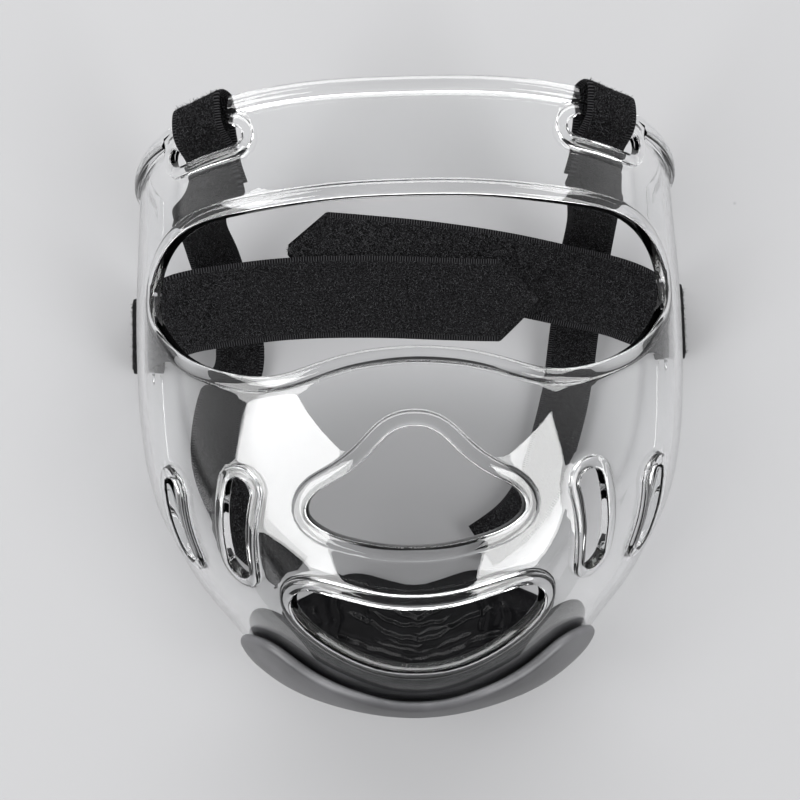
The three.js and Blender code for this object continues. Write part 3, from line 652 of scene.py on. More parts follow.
@dataclass
class FaceShield:
    """The clear shell with its beads, openings and slots."""

    form: ShellForm
    finish: ClearPlastic = ClearPlastic()
    spacing: float = 2.2
    rim_half: float = 3.0
    rim_out: float = RIM_BEAD
    opening_bead: Bead = Bead(2.7, 1.9, 2.4)
    slot_bead: Bead = Bead(2.2, 1.5, 1.9)
    edge_round: float = 0.5
    bead_edge: float = 0.35
    relief_half: float = 17.0
    mm_per_degree: float = 1.75
    rim_fade: tuple = (82.0, 86.0)
    rim_band: float = 8.0

    def half_outline(self, rows: list[tuple[float, float]]) -> Array:
        """Right half of an opening's edge as (degrees, millimetres)."""
        table = np.array(rows)
        return np.column_stack([table[:, 0], self.form.level(table[:, 1])])

    def opening(self, upper: list, lower: list, relax: int) -> Array:
        """Closed edge of an opening: anticlockwise, mirrored at the middle, evenly spaced.

        Args:
            upper: right half from the tip to the middle, along the top.
            lower: right half from the tip to the middle, along the bottom.
            relax: passes of averaging that round the tips.

        Returns:
            Rows of (degrees, millimetres).
        """
        top, low = self.half_outline(upper), self.half_outline(lower)
        flip = np.array([-1.0, 1.0])
        loop = np.vstack([top, (top[:-1] * flip)[::-1], low[1:] * flip, low[1:-1][::-1]])
        return self.even(loop, relax)

    def even(self, loop: Array, relax: int) -> Array:
        """Smooth closed line through a loop's corners, with evenly spaced points."""
        count = len(loop)
        pad = 5
        rows = np.vstack([loop[-pad:], loop, loop[:pad + 1]])
        chord = along(self.form.point(rows[:, 0], rows[:, 1]))
        curve = SmoothTable(np.column_stack([chord, rows]))
        fine = curve.at(np.linspace(chord[pad], chord[pad + count], 1500, endpoint=False))
        for _ in range(relax):
            fine = (np.roll(fine, 6, 0) + np.roll(fine, 3, 0) + fine + np.roll(fine, -3, 0)
                    + np.roll(fine, -6, 0)) / 5.0
        return self.spread(fine)

    def spread(self, fine: Array) -> Array:
        """The same closed line with even steps of about the mesh spacing, anticlockwise."""
        closed = np.vstack([fine, fine[:1]])
        length = along(self.form.point(closed[:, 0], closed[:, 1]))
        steps = max(24, int(length[-1] / (0.75 * self.spacing)))
        at = np.linspace(0.0, length[-1], steps, endpoint=False)
        loop = np.column_stack([np.interp(at, length, closed[:, k]) for k in (0, 1)])
        area = np.sum(loop[:, 0] * np.roll(loop[:, 1], -1) - loop[:, 1] * np.roll(loop[:, 0], -1))
        return loop if area > 0 else loop[::-1]

    def slot(self, ends: list[tuple[float, float]], width: float) -> Array:
        """Slot with round ends, drawn in the plane that touches the shell at its middle.

        Args:
            ends: centres of the two round ends as (degrees, share of the height).
            width: clear width.
        """
        first, last = (np.array([around, self.form.level(up)]) for around, up in ends)
        middle = (first + last) / 2.0
        near = self.form.point(middle[0], middle[1])
        per_degree = np.linalg.norm(self.form.point(middle[0] + 0.5, middle[1])
                                    - self.form.point(middle[0] - 0.5, middle[1]))
        per_level = np.linalg.norm(self.form.point(middle[0], middle[1] + 1.0) - near)
        scale = np.array([per_degree, per_level])
        run = (last - first) * scale
        reach, heading = np.linalg.norm(run) / 2.0, math.atan2(run[1], run[0])
        bend = np.linspace(-math.pi / 2.0, math.pi / 2.0, 40)
        cap = np.column_stack([reach + width / 2.0 * np.cos(bend), width / 2.0 * np.sin(bend)])
        ring = np.vstack([cap, -cap])
        turned = np.column_stack([ring[:, 0] * math.cos(heading) - ring[:, 1] * math.sin(heading),
                                  ring[:, 0] * math.sin(heading) + ring[:, 1] * math.cos(heading)])
        loop = middle + turned / scale
        closed = np.vstack([loop, loop[:1]])
        length = along(closed * scale)
        at = np.linspace(0.0, length[-1], 400, endpoint=False)
        return self.spread(np.column_stack([np.interp(at, length, closed[:, k]) for k in (0, 1)]))

    def openings(self) -> list[tuple[Array, Bead | None]]:
        """Every opening's edge with the bead round it."""
        eye = self.opening(
            [(50, 0.68), (49, 0.712), (44.5, 0.757), (38, 0.786), (27, 0.804), (18, 0.813), (8, 0.82),
             (0, 0.821)],
            [(50, 0.68), (49, 0.649), (46, 0.626), (41, 0.595), (31, 0.561), (24.5, 0.55), (20, 0.552),
             (15, 0.565), (10, 0.579), (4, 0.588), (0, 0.59)], 2)
        nose = self.opening(
            [(18.7, 0.345), (18, 0.362), (13, 0.392), (9, 0.414), (6, 0.439), (3, 0.464), (0, 0.471)],
            [(18.7, 0.345), (17.5, 0.329), (15.5, 0.318), (11, 0.306), (5, 0.297), (0, 0.295)], 2)
        mouth = self.opening(
            [(29.7, 0.191), (28.7, 0.212), (25.5, 0.226), (20.5, 0.224), (13.5, 0.212), (7, 0.203), (0, 0.2)],
            [(29.7, 0.191), (27.7, 0.16), (20.5, 0.124), (10.5, 0.101), (0, 0.095)], 2)
        found: list[tuple[Array, Bead | None]] = [(line, self.opening_bead) for line in (eye, nose, mouth)]
        slots = [([(31, 0.381), (39.5, 0.259)], 9.0, self.slot_bead),
                 ([(50.5, 0.381), (57.5, 0.272)], 8.0, self.slot_bead),
                 (TOP_SLOT.ends(), 8.0, self.slot_bead),
                 (SIDE_SLOT.ends(), 7.0, None)]
        for ends, width, bead in slots:
            line = self.slot(ends, width)
            found += [(line, bead), ((line * np.array([-1.0, 1.0]))[::-1], bead)]
        return found

    def outer_edge(self) -> Array:
        """Edge of the whole shell, anticlockwise, with the reliefs that the side straps pass under."""
        form = self.form
        top_angles = np.linspace(90.0, -90.0, 400)
        top = np.column_stack([top_angles, form.top(top_angles)])
        low = np.column_stack([-top_angles, form.bottom(top_angles)])
        middle = form.level(SIDE_SLOT.up)
        rear = np.linspace(form.bottom(np.array(90.0)), form.top(np.array(90.0)), 240)[1:-1]
        inset = RELIEF / form.depth * (180.0 / math.pi)
        notch = inset * (1.0 - smooth_step(self.relief_half - 0.8, self.relief_half + 0.2,
                                           np.abs(rear - middle)))
        right = np.column_stack([90.0 - notch, rear])
        left = (right * np.array([-1.0, 1.0]))[::-1]
        return self.spread(np.vstack([top, left, low, right]))

    def rings(self, loop: Array, distances: Array, outward: float) -> Array:
        """Copies of a closed line, each a distance away from it within the surface.

        Args:
            loop: rows of (degrees, millimetres), anticlockwise.
            distances: how far each copy lies.
            outward: 1 away from the loop's inside, -1 into it.

        Returns:
            An array (distance, point, 2).
        """
        spots = self.form.point(loop[:, 0], loop[:, 1])
        ahead = unit(np.roll(spots, -1, 0) - np.roll(spots, 1, 0))
        _, _, out = self.form.frame(loop[:, 0], loop[:, 1])
        beside = unit(np.cross(ahead, out)) * outward
        copies = [np.column_stack(self.form.shift(loop[:, 0], loop[:, 1], beside * d)) for d in distances]
        return np.array(copies)

    def ring_sets(self, net: Net) -> None:
        """Rings of quads round every opening, across its bead, and along the shell's own edge."""
        for loop, bead in self.openings():
            if bead is None:
                distance = np.array([0.0, 0.08, 0.25, self.edge_round, 1.2])
                lift = -edge_drop(distance, self.edge_round)
            else:
                distance = bead.rings()
                lift = bead.lift(distance)
                lift[0] -= self.bead_edge
            net.add_rings(self.rings(loop, distance, 1.0), lift, edge_drop(distance, self.edge_round))
        distance = np.array([0.0, 0.08, 0.25, self.edge_round, 1.0])
        drop = edge_drop(distance, self.edge_round)
        net.add_rings(self.rings(self.outer_edge(), distance, -1.0)[:, ::-1], -drop, drop)

    def make(self) -> bpy.types.Object:
        """Two like nets, the outer and the inner face, joined along every edge.

        A constrained Delaunay net fills what the rings leave open, and lines along the rim carry its bead.
        """
        form, net = self.form, Net()
        self.ring_sets(net)
        first = net.count
        drops = self.rim_half * (1.0 + np.cos(np.radians([150, 130, 110, 90, 70, 50, 35, 20, 8, 0])))
        rim_angles = np.linspace(-83.0, 83.0, 190)
        for drop in np.concatenate([drops[drops > 1.3], [6.15, 6.5, 7.0]]):
            net.add_chain(np.column_stack([rim_angles, form.top(rim_angles) - drop]))
        net.add_points(self.seeds(net), 0.0, 0.0)

        flat, count = np.vstack(net.places), net.count
        triangles = self.fill(flat, net, first)
        lift, sink = np.concatenate(net.lifts), np.concatenate(net.sinks)
        lift = np.where(lift < 0.0, lift, np.maximum(lift, self.rim_lift(flat)))
        points = np.vstack([self.offset(flat, lift), self.offset(flat, sink - form.wall)])
        walls = [np.column_stack([seam, np.roll(seam, -1), np.roll(seam, -1) + count, seam + count])
                 for seam in net.seams]
        quads = np.vstack(net.quads)
        faces = [quads, quads[:, ::-1] + count, triangles, triangles[:, ::-1] + count,
                 np.vstack(walls)[:, ::-1]]
        used = np.zeros(len(points), bool)
        for part in faces:
            used[part.ravel()] = True
        number = np.cumsum(used) - 1
        piece = make_piece("clear_shell", points[used], [number[part] for part in faces], self.finish.make(),
                           "clear_shell")
        outward(piece)
        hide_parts("face_shield")
        return piece

    def rim_lift(self, flat: Array) -> Array:
        """Height of the bead along the top edge, faded out at its two ends."""
        drop = self.form.top(flat[:, 0]) - flat[:, 1]
        bead = Bead(self.rim_half, self.rim_out, self.rim_half)
        fade = 1.0 - smooth_step(*self.rim_fade, np.abs(flat[:, 0]))
        return np.where(drop < self.rim_band, np.maximum(bead.lift(np.maximum(drop, 0.0)), 0.0) * fade, 0.0)

    def offset(self, flat: Array, off: Array) -> Array:
        """Points off the outer face along its normal."""
        _, _, out = self.form.frame(flat[:, 0], np.clip(flat[:, 1], self.form.level(0.0), self.form.brow))
        return self.form.point(flat[:, 0], flat[:, 1]) + out * off[:, None]

    def seeds(self, net: Net) -> Array:
        """Staggered points that fill the shell between its edges, a little clear of them."""
        form, flat, borders = self.form, np.vstack(net.places), net.borders
        levels = [form.level(0.0)]
        while levels[-1] < form.brow:
            here = form.point(np.zeros(2), np.array([levels[-1], levels[-1] + 0.5]))
            levels.append(levels[-1] + 0.5 * self.spacing / np.linalg.norm(here[1] - here[0]))
        rows = []
        for i, level in enumerate(levels):
            girth = np.linalg.norm(np.diff(form.point(np.linspace(0, 90, 60), np.full(60, level)), axis=0),
                                   axis=1).sum()
            columns = int(2 * girth / self.spacing)
            around = np.linspace(-90.0, 90.0, columns) + (i % 2) * 90.0 / columns
            rows.append(np.column_stack([around, np.full(columns, level)]))
        seeds = np.vstack(rows)
        drop = form.top(seeds[:, 0]) - seeds[:, 1]
        seeds = seeds[(drop > self.rim_band) | ((np.abs(seeds[:, 0]) > 83.5) & (drop > 1.0))]
        edge_points = form.point(*flat[np.concatenate(borders)].T)
        spots = form.point(seeds[:, 0], seeds[:, 1])
        keep = np.ones(len(seeds), bool)
        for chunk in np.array_split(np.arange(len(seeds)), 40):
            gap = np.linalg.norm(spots[chunk, None] - edge_points[None], axis=-1).min(axis=1)
            keep[chunk] = gap > 0.55 * self.spacing
        return seeds[keep & between(seeds, flat, borders)]

    def fill(self, flat: Array, net: Net, first: int) -> Array:
        """Triangles between the edges.

        Args:
            flat: every point as (degrees, millimetres).
            net: the lines that bound the triangles and the ones that they follow.
            first: number of the first point that isn't on a ring.

        Returns:
            Rows of three point numbers.
        """
        levels = np.linspace(self.form.level(0.0), self.form.brow, 600)
        arc = along(self.form.point(np.zeros(600), levels))
        plane = np.column_stack([flat[:, 0] * self.mm_per_degree, np.interp(flat[:, 1], levels, arc)])
        chosen = np.concatenate(net.borders + [np.arange(first, len(flat))])
        back = np.full(len(flat), -1)
        back[chosen] = np.arange(len(chosen))
        edges = [np.column_stack([border, np.roll(border, -1)]) for border in net.borders]
        edges += [np.column_stack([chain[:-1], chain[1:]]) for chain in net.chains]
        made = delaunay_2d_cdt([Vector(row) for row in plane[chosen].tolist()],
                               back[np.vstack(edges)].tolist(), [], 0, 1e-5)
        spots = np.array([vert[:] for vert in made[0]])
        owner = np.array([ids[0] if ids else -1 for ids in made[3]])
        triangles = np.array(made[2])
        centres = spots[triangles].mean(axis=1)
        keep = between(centres, plane, net.borders) & (owner[triangles] >= 0).all(axis=1)
        return chosen[owner[triangles[keep]]]


def inside(spots: Array, loop: Array) -> Array:
    """Which points lie inside a closed line: a ray to the right crosses it an odd number of times."""
    x, y = spots[:, 0], spots[:, 1]
    found = np.zeros(len(spots), bool)
    for (ax, ay), (bx, by) in zip(loop, np.roll(loop, -1, 0)):
        if ay == by:
            continue
        found ^= ((ay > y) != (by > y)) & (x < (bx - ax) * (y - ay) / (by - ay) + ax)
    return found


def between(spots: Array, flat: Array, borders: list[Array]) -> Array:
    """Which points lie inside the last border and outside all others."""
    keep = inside(spots, flat[borders[-1]])
    for border in borders[:-1]:
        keep &= ~inside(spots, flat[border])
    return keep


def outward(piece: bpy.types.Object) -> None:
    """Turns every face outwards."""
    bpy.context.view_layer.objects.active = piece
    piece.select_set(True)
    bpy.ops.object.mode_set(mode="EDIT")
    bpy.ops.mesh.select_all(action="SELECT")
    bpy.ops.mesh.normals_make_consistent(inside=False)
    bpy.ops.object.mode_set(mode="OBJECT")
    piece.select_set(False)


# Strips of even thickness

def strip_section(line: Array, half: Array, cap_steps: int) -> Array:
    """Closed outlines round open middle lines: both faces, and half circles at the two ends.

    A face lies half a thickness to the side of the line, along its normal. An end is the half circle
    that leads from one face to the other.

    Args:
        line: middle lines, as an array (section, point, 2).
        half: half the thickness at each point, as an array (section, point).
        cap_steps: points on each half circle.

    Returns:
        An array (section, point, 2).
    """
    ahead = unit(np.gradient(line, axis=1))
    side = np.stack([-ahead[..., 1], ahead[..., 0]], axis=-1)
    thick = half[..., None]
    turn = np.linspace(0.0, math.pi, cap_steps + 2)[None, 1:-1, None]
    ends = []
    for at, sign in ((-1, 1.0), (0, -1.0)):
        centre, reach = line[:, [at]], thick[:, [at]]
        ends.append(centre + sign * reach * (side[:, [at]] * np.cos(turn) + ahead[:, [at]] * np.sin(turn)))
    return np.concatenate([line + side * thick, ends[0], (line - side * thick)[:, ::-1], ends[1]], axis=1)


def section_caps(count: int, cap_steps: int, last: int) -> list[Array]:
    """Faces that close the first and the last outline of a strip.

    Args:
        count: points of the middle line.
        cap_steps: points on each half circle.
        last: number of the last outline's first point.
    """
    k = np.arange(count - 1)
    opposite = 2 * count + cap_steps - 1 - k
    ladder = np.column_stack([k, k + 1, opposite - 1, opposite])
    far = np.arange(count - 1, count + cap_steps + 1)
    near = np.concatenate([np.arange(2 * count + cap_steps - 1, 2 * count + 2 * cap_steps), [0]])
    fans = np.vstack([np.column_stack([np.full(len(ring) - 2, ring[0]), ring[1:-1], ring[2:]])
                      for ring in (far, near)])
    return [ladder[:, ::-1], fans[:, ::-1], ladder + last, fans + last]


# Chin pieces

@dataclass
class ChinBand:
    """Foam channel pushed over the lower edge of the shell."""

    form: ShellForm
    finish: SatinFoam = SatinFoam()
    foam: float = 3.6
    fit: float = 0.5
    drop: float = 3.2
    end: float = 70.0
    rounded_from: float = 61.0
    reach: SmoothTable = field(default_factory=lambda: SmoothTable([
        # degrees from the front, how high the outer and the inner leg reach as shares of the height
        (0.0, 0.032, 0.062), (11.0, 0.036, 0.066), (20.0, 0.047, 0.076), (30.0, 0.065, 0.110),
        (38.0, 0.092, 0.150), (44.0, 0.120, 0.165), (50.0, 0.130, 0.160), (58.0, 0.125, 0.130),
        (66.0, 0.100, 0.090), (70.0, 0.080, 0.078)]))

    def middle_line(self, around: Array) -> Array:
        """Middle of the foam at each angle: down the outer leg, half an ellipse under the edge, and up.

        Returns:
            An array (angle, point, 2) of the height and the distance off the shell.
        """
        half = self.foam / 2.0
        edge = self.form.bottom(around)[:, None]
        table = self.reach.at(np.abs(around))
        past = np.clip((np.abs(around) - self.rounded_from) / (self.end - self.rounded_from), 0.0, 0.97)
        shrink = np.sqrt(1.0 - past * past)[:, None]
        outer = (self.form.level(table[:, [0]]) - half - edge) * shrink
        inner = (self.form.level(table[:, [1]]) - half - edge) * shrink
        leg = np.linspace(1.0, 0.0, 14)[None, :]
        turn = np.radians(np.linspace(0.0, 180.0, 16))[None, 1:-1]
        near, far = self.fit + half, -self.form.wall - self.fit - half
        height = np.hstack([edge + outer * leg, edge - (self.drop - half) * np.sin(turn),
                            edge + inner * leg[:, ::-1]])
        bend = (near + far) / 2.0 + (near - far) / 2.0 * np.cos(turn)
        off = np.hstack([near + 0.0 * leg, bend, far + 0.0 * leg]) + 0.0 * height
        return np.stack([height, off], axis=-1)

    def make(self) -> bpy.types.Object:
        """Loft of the foam's section round the chin, closed at both tips."""
        cap_steps = 7
        around = self.end * np.sin(np.linspace(-math.pi / 2.0, math.pi / 2.0, 190))
        line = self.middle_line(around)
        ring = strip_section(line, np.full(line.shape[:2], self.foam / 2.0), cap_steps)
        points = self.form.place(around[:, None], ring[..., 0], ring[..., 1])
        rows, columns = ring.shape[:2]
        faces = [ribbon_quads(rows, columns, True)]
        faces += section_caps(line.shape[1], cap_steps, (rows - 1) * columns)
        # Painted shade mask: 0 on the inner leg, where the foam's finish paints a near-black shade, rising to
        # 1 on the outer face.
        skin = smooth_step(-self.form.wall - self.fit, -self.form.wall / 2.0, ring[..., 1])
        piece = make_piece("chin_foam", points.reshape(-1, 3), faces, self.finish.make(), "foam",
                           skin=skin.ravel())
        outward(piece)
        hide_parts("chin_band")
        return piece


@dataclass
class ChinCup:
    """Slack padded bowl from the band's inner leg back to the throat, creased like a seat of leather."""

    form: ShellForm
    finish: PadLeather = PadLeather()
    wall: float = 5.0
    sag_depth: float = 9.0
    sag_down: float = 0.85
    sag_back: float = 0.5
    sag_flatter: float = 0.8
    front_angle: float = 56.0
    inward: float = 2.4 + 0.5 + 3.6 + 0.35 + 1.1
    rear: SmoothTable = field(default_factory=lambda: SmoothTable([
        # share of half the width, of the height and of the depth
        (0.00, 0.163, 0.062), (0.11, 0.176, 0.055), (0.20, 0.188, 0.055), (0.29, 0.184, 0.060),
        (0.35, 0.168, 0.075), (0.43, 0.150, 0.105), (0.50, 0.122, 0.160), (0.52, 0.105, 0.215)]))

    def middle(self, share: Array, back: Array) -> Array:
        """Middle of the pad: straight from the band to the rear edge, plus a sine that sags.

        Args:
            share: -1 at the right end of the cup to 1 at its left end.
            back: 0 at the band to 1 at the rear edge.
        """
        form = self.form
        around = share * self.front_angle
        front = form.place(around, form.bottom(around) + self.wall / 2.0, -self.inward * np.ones_like(around))
        across = np.abs(share) * self.rear.keys[-1]
        table = self.rear.at(across)
        rear = np.stack([np.sign(share) * across * form.width / 2.0, form.level(table[..., 0]) + form.lift,
                         table[..., 1] * form.depth], axis=-1)
        sag = self.sag_depth * np.sin(math.pi * back) * (1.0 - self.sag_flatter * share * share)
        slack = np.stack([0.0 * sag, -self.sag_down * sag, -self.sag_back * sag], axis=-1)
        return front + (rear - front) * back[..., None] + slack

    def creases(self, share: Array, back: Array) -> Array:
        """Depth of the folds: narrow valleys that curve round the throat, and a few towards the ends.

        Each valley is a Gaussian of the distance to its own curve, faded at the curve's two ends.
        """
        depth = np.zeros_like(share)
        folds = [
            # back at the middle, how it curves, where it starts and stops, width, depth
            (0.30, 0.32, -0.70, 0.75, 0.022, 1.1),
            (0.40, 0.38, -0.42, 0.50, 0.014, 0.7),
            (0.47, 0.10, -0.30, 0.12, 0.012, 0.55),
            (0.53, 0.50, -0.55, 0.60, 0.018, 0.9),
            (0.60, -0.15, -0.10, 0.34, 0.012, 0.5),
            (0.66, 0.25, -0.38, 0.30, 0.013, 0.6),
            (0.74, 0.55, -0.45, 0.52, 0.016, 0.8),
            (0.83, 0.30, -0.30, 0.36, 0.013, 0.5),
            (0.17, 0.18, -0.80, 0.82, 0.020, 0.7),
        ]
        for at, bow, start, stop, wide, deep in folds:
            wander = 0.012 * np.sin(17.0 * share + 40.0 * at) + 0.006 * np.sin(41.0 * share + 90.0 * at)
            curve = at + bow * share * share + wander
            reach = smooth_step(start, start + 0.12, share) * (1.0 - smooth_step(stop - 0.12, stop, share))
            away = (back - curve) / wide
            depth -= deep * reach * (np.exp(-away * away) - 0.45 * np.exp(-((away - 2.2) ** 2) / 2.5))
        spokes = [
            # share at the band, lean, where it starts and stops, depth
            (-0.66, 0.10, 0.35, 0.95, 0.8), (-0.50, 0.16, 0.5, 0.98, 0.6), (0.58, -0.12, 0.4, 0.95, 0.8),
            (0.72, -0.08, 0.3, 0.8, 0.6), (-0.80, 0.05, 0.3, 0.85, 0.6)]
        for at, lean, start, stop, deep in spokes:
            away = (share - at - lean * back - 0.012 * np.sin(22.0 * back)) / 0.018
            reach = smooth_step(start, start + 0.15, back) * (1.0 - smooth_step(stop - 0.1, stop, back))
            depth -= deep * reach * (np.exp(-away * away) - 0.4 * np.exp(-((np.abs(away) - 2.2) ** 2) / 2.0))
        return depth

    def make(self) -> bpy.types.Object:
        """Both faces of the pad over one grid, thinned to a rolled edge, with the folds pressed in."""
        columns, rows = 300, 150
        share, back = np.meshgrid(np.linspace(-1.0, 1.0, columns), np.linspace(0.0, 1.0, rows), indexing="ij")
        centre = self.middle(share, back)
        normal = unit(np.cross(np.gradient(centre, axis=0), np.gradient(centre, axis=1)))
        edge = np.minimum.reduce([(1.0 + share) * 9.0, (1.0 - share) * 9.0, back * 6.0, (1.0 - back) * 6.0])
        round_off = np.sqrt(np.clip(edge * (2.0 - edge), 0.0, 1.0) * (edge < 1.0) + (edge >= 1.0))
        thick = (self.wall / 2.0) * (0.25 + 0.75 * round_off)
        calm = smooth_step(0.0, 1.2, edge)
        folds = self.creases(share, back) * calm
        top = centre + normal * (thick + folds)[..., None]
        low = centre - normal * (thick + 0.3 * folds)[..., None]
        count = columns * rows
        number = np.arange(count).reshape(columns, rows)
        net = ribbon_quads(columns, rows, False)
        rim = np.concatenate([number[:, 0], number[-1, 1:], number[-2::-1, -1], number[0, -2:0:-1]])
        after = np.roll(rim, -1)
        walls = np.column_stack([rim, after, after + count, rim + count])
        points = np.vstack([top.reshape(-1, 3), low.reshape(-1, 3)])
        piece = make_piece("chin_pad", points, [net, net[:, ::-1] + count, walls], self.finish.make(),
                           "chin_pad")
        outward(piece)
        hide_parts("chin_cup")
        return piece


# Straps

class Side(Enum):
    """Which side of the face a strap is on, as the camera sees it."""

    LEFT = -1
    RIGHT = 1


@dataclass(frozen=True)
class Tape:
    """Sizes of one width of loop tape."""

    width: float
    thick: float = 1.6
    gap: float = 0.35
    selvedge: float = 2.2
    edge_thick: float = 0.9
    plain_end: float = 14.0
    step: float = 0.9


@dataclass
class Strap:
    """A tape strap: its line, its surface and its pile."""

    name: str
    node: str
    form: ShellForm
    tape: Tape
    side: Side
    run: list
    seed: int
    fibres: int = 18000

    def layers(self, bow: float) -> dict[str, float]:
        """Distances of the tape's middle from the shell's outer face, layer by layer."""
        tape = self.tape
        outer = tape.gap + tape.thick / 2.0
        first = -self.form.wall - outer - bow
        return {"outer": outer, "over_bead": RIM_BEAD + outer, "middle": -self.form.wall / 2.0,
                "first": first, "second": first - tape.thick - tape.gap}

    def loop(self) -> tuple[Array, Array]:
        """Knots of the loop round the shell and the width vector at each."""
        raise NotImplementedError

    def free(self, leaving: Array) -> tuple[Array, Array]:
        """Knots of the free stretch and their width vectors, turned about the strap's own line.

        Args:
            leaving: width vector that the tape leaves the wall with.
        """
        rows = np.array(self.run)
        points = np.column_stack([rows[:, 0] * self.form.width / 2.0,
                                  self.form.level(rows[:, 1]) + self.form.lift,
                                  rows[:, 2] * self.form.depth])
        ahead = np.zeros_like(points)
        ahead[1:-1] = points[2:] - points[:-2]
        ahead[0], ahead[-1] = points[1] - points[0], points[-1] - points[-2]
        ahead = unit(ahead)
        flat = unit(np.column_stack([-ahead[:, 1], ahead[:, 0], 0.0 * ahead[:, 0]]))
        turn = np.radians(rows[:, 3])[:, None]
        flat = flat * np.cos(turn) + np.cross(ahead, flat) * np.sin(turn)
        flat *= np.where((flat @ leaving)[:, None] < 0.0, -1.0, 1.0)
        eased = np.minimum(1.0, np.arange(len(rows)) / 2.0)[:, None]
        return points, unit(leaving * (1.0 - eased) + flat * eased)

    def line(self) -> tuple[Array, Array]:
        """Even steps along the strap: a spline through its knots by the root of the chord.

        Returns:
            Points and unit width vectors.
        """
        points, across = self.loop()
        more, more_across = self.free(across[-1])
        points, across = np.vstack([points, more]), np.vstack([across, more_across])
        chord = np.concatenate([[0.0], np.cumsum(np.linalg.norm(np.diff(points, axis=0), axis=1) ** 0.5)])
        curve = SmoothTable(np.column_stack([chord, points, across]))
        fine = curve.at(np.linspace(0.0, chord[-1], 3000))
        length = along(fine[:, :3])
        at = np.linspace(0.0, length[-1], int(length[-1] / self.tape.step) + 1)
        even = np.column_stack([np.interp(at, length, fine[:, k]) for k in range(6)])
        kernel = np.ones(5) / 5.0
        padded = np.pad(even, ((2, 2), (0, 0)), mode="edge")
        calm = np.column_stack([np.convolve(padded[:, k], kernel, "valid") for k in range(6)])
        calm[:2], calm[-2:] = even[:2], even[-2:]
        ahead = unit(np.gradient(calm[:, :3], axis=0))
        flat = calm[:, 3:] - ahead * (calm[:, 3:] * ahead).sum(1)[:, None]
        return calm[:, :3], unit(flat)

    def half_width(self, left: Array) -> Array:
        """Half the tape's width at a distance from its free end."""
        return np.full_like(left, self.tape.width / 2.0)

    def make(self) -> bpy.types.Object:
        """A strip whose edges are thinner than its pile, with a slightly uneven pile face."""
        tape, cap_steps, count = self.tape, 5, 34
        rng = np.random.default_rng(self.seed)
        spots, across = self.line()
        ahead = unit(np.gradient(spots, axis=0))
        normal = np.cross(ahead, across)
        length = along(spots)
        half = self.half_width(length[-1] - length)
        end = tape.edge_thick / 2.0
        share = np.linspace(-1.0, 1.0, count)[None, :]
        width = share * (half[:, None] - end)
        inside_edge = smooth_step(0.0, tape.selvedge, half[:, None] - np.abs(width) - 0.3)
        thick = end + (tape.thick / 2.0 - end) * inside_edge
        line = np.stack([width, 0.0 * width], axis=-1)
        ring = strip_section(line, thick, cap_steps)
        rows, columns = ring.shape[:2]
        lumps = rng.normal(0.0, 0.07, (rows, columns)) * (np.abs(ring[..., 0]) < half[:, None] - tape.selvedge)
        rise = ring[..., 1] + np.sign(ring[..., 1]) * lumps
        points = (spots[:, None] + across[:, None] * ring[..., [0]] + normal[:, None] * rise[..., None])
        faces = [ribbon_quads(rows, columns, True)]
        faces += section_caps(count, cap_steps, (rows - 1) * columns)
        edge = 1.0 - smooth_step(tape.selvedge - 0.5, tape.selvedge, half[:, None] - np.abs(ring[..., 0]))
        edge = edge * (length[-1] - length > tape.plain_end)[:, None]
        piece = make_piece(self.name, points.reshape(-1, 3), faces, LoopTape().make(), "tape",
                           tape_along=np.repeat(length, columns), tape_edge=edge.ravel())
        outward(piece)
        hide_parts(self.node)
        pile = self.pile(rng, spots, across, normal, length, half)
        LOG.info("%s: tape %.0f mm long", self.name, length[-1])
        return piece

    def pile(self, rng: np.random.Generator, spots: Array, across: Array, normal: Array, length: Array,
             half: Array) -> bpy.types.Object:
        """Fibres: each is a three-sided spike that stands up and bends over.

        A fibre has a triangle at its root, a thinner one half way and a tip. It leans in a random
        direction of the tape's plane, further with its length.
        """
        tape, number = self.tape, self.fibres
        place = rng.uniform(0.0, length[-1], number)
        index = np.clip(np.searchsorted(length, place) - 1, 0, len(length) - 2)
        share = ((place - length[index]) / (length[index + 1] - length[index]))[:, None]
        blend = [values[index] * (1 - share) + values[index + 1] * share for values in (spots, across, normal)]
        face = np.where(rng.uniform(0, 1, number) < 0.5, 1.0, -1.0)
        reach = np.interp(place, length, half)
        stray = rng.uniform(0, 1, number) < 0.06
        inner = np.maximum(reach - tape.selvedge * 0.8, 0.5)
        aside = rng.uniform(-1.0, 1.0, number) * np.where(stray, reach - 0.4, inner)
        root = (blend[0] + blend[1] * aside[:, None]
                + blend[2] * (face * (tape.thick / 2.0 - 0.12) * np.where(stray, 0.7, 1.0))[:, None])
        ahead = np.cross(blend[1], blend[2])
        turn = rng.uniform(0.0, 2.0 * math.pi, number)
        lean = blend[1] * np.cos(turn)[:, None] + ahead * np.sin(turn)[:, None]
        tall = rng.uniform(0.35, 0.8, number)
        tall[rng.uniform(0, 1, number) < 0.12] *= 2.2
        far = rng.uniform(0.5, 1.3, number)
        up = blend[2] * face[:, None]
        waist = root + up * (tall * 0.8)[:, None] + lean * (far * 0.35)[:, None]
        tip = root + up * (tall * rng.uniform(0.5, 1.1, number))[:, None] + lean * far[:, None]
        thin = rng.uniform(0.055, 0.1, number)
        beside = np.cross(lean, up)
        corners = []
        for base, size in ((root, thin), (waist, thin * 0.8)):
            for angle in (90.0, 210.0, 330.0):
                spin = math.radians(angle)
                corners.append(base + (beside * math.cos(spin) + lean * math.sin(spin)) * size[:, None])
        corners.append(tip)
        points = np.stack(corners, axis=1).reshape(-1, 3)
        pattern = np.array([[0, 1, 4], [0, 4, 3], [1, 2, 5], [1, 5, 4], [2, 0, 3], [2, 3, 5], [3, 4, 6],
                            [4, 5, 6], [5, 3, 6], [2, 1, 0]])
        faces = (np.arange(number)[:, None, None] * 7 + pattern[None]).reshape(-1, 3)
        tone = np.repeat(rng.uniform(0.0, 1.0, number) ** 1.4, 7)
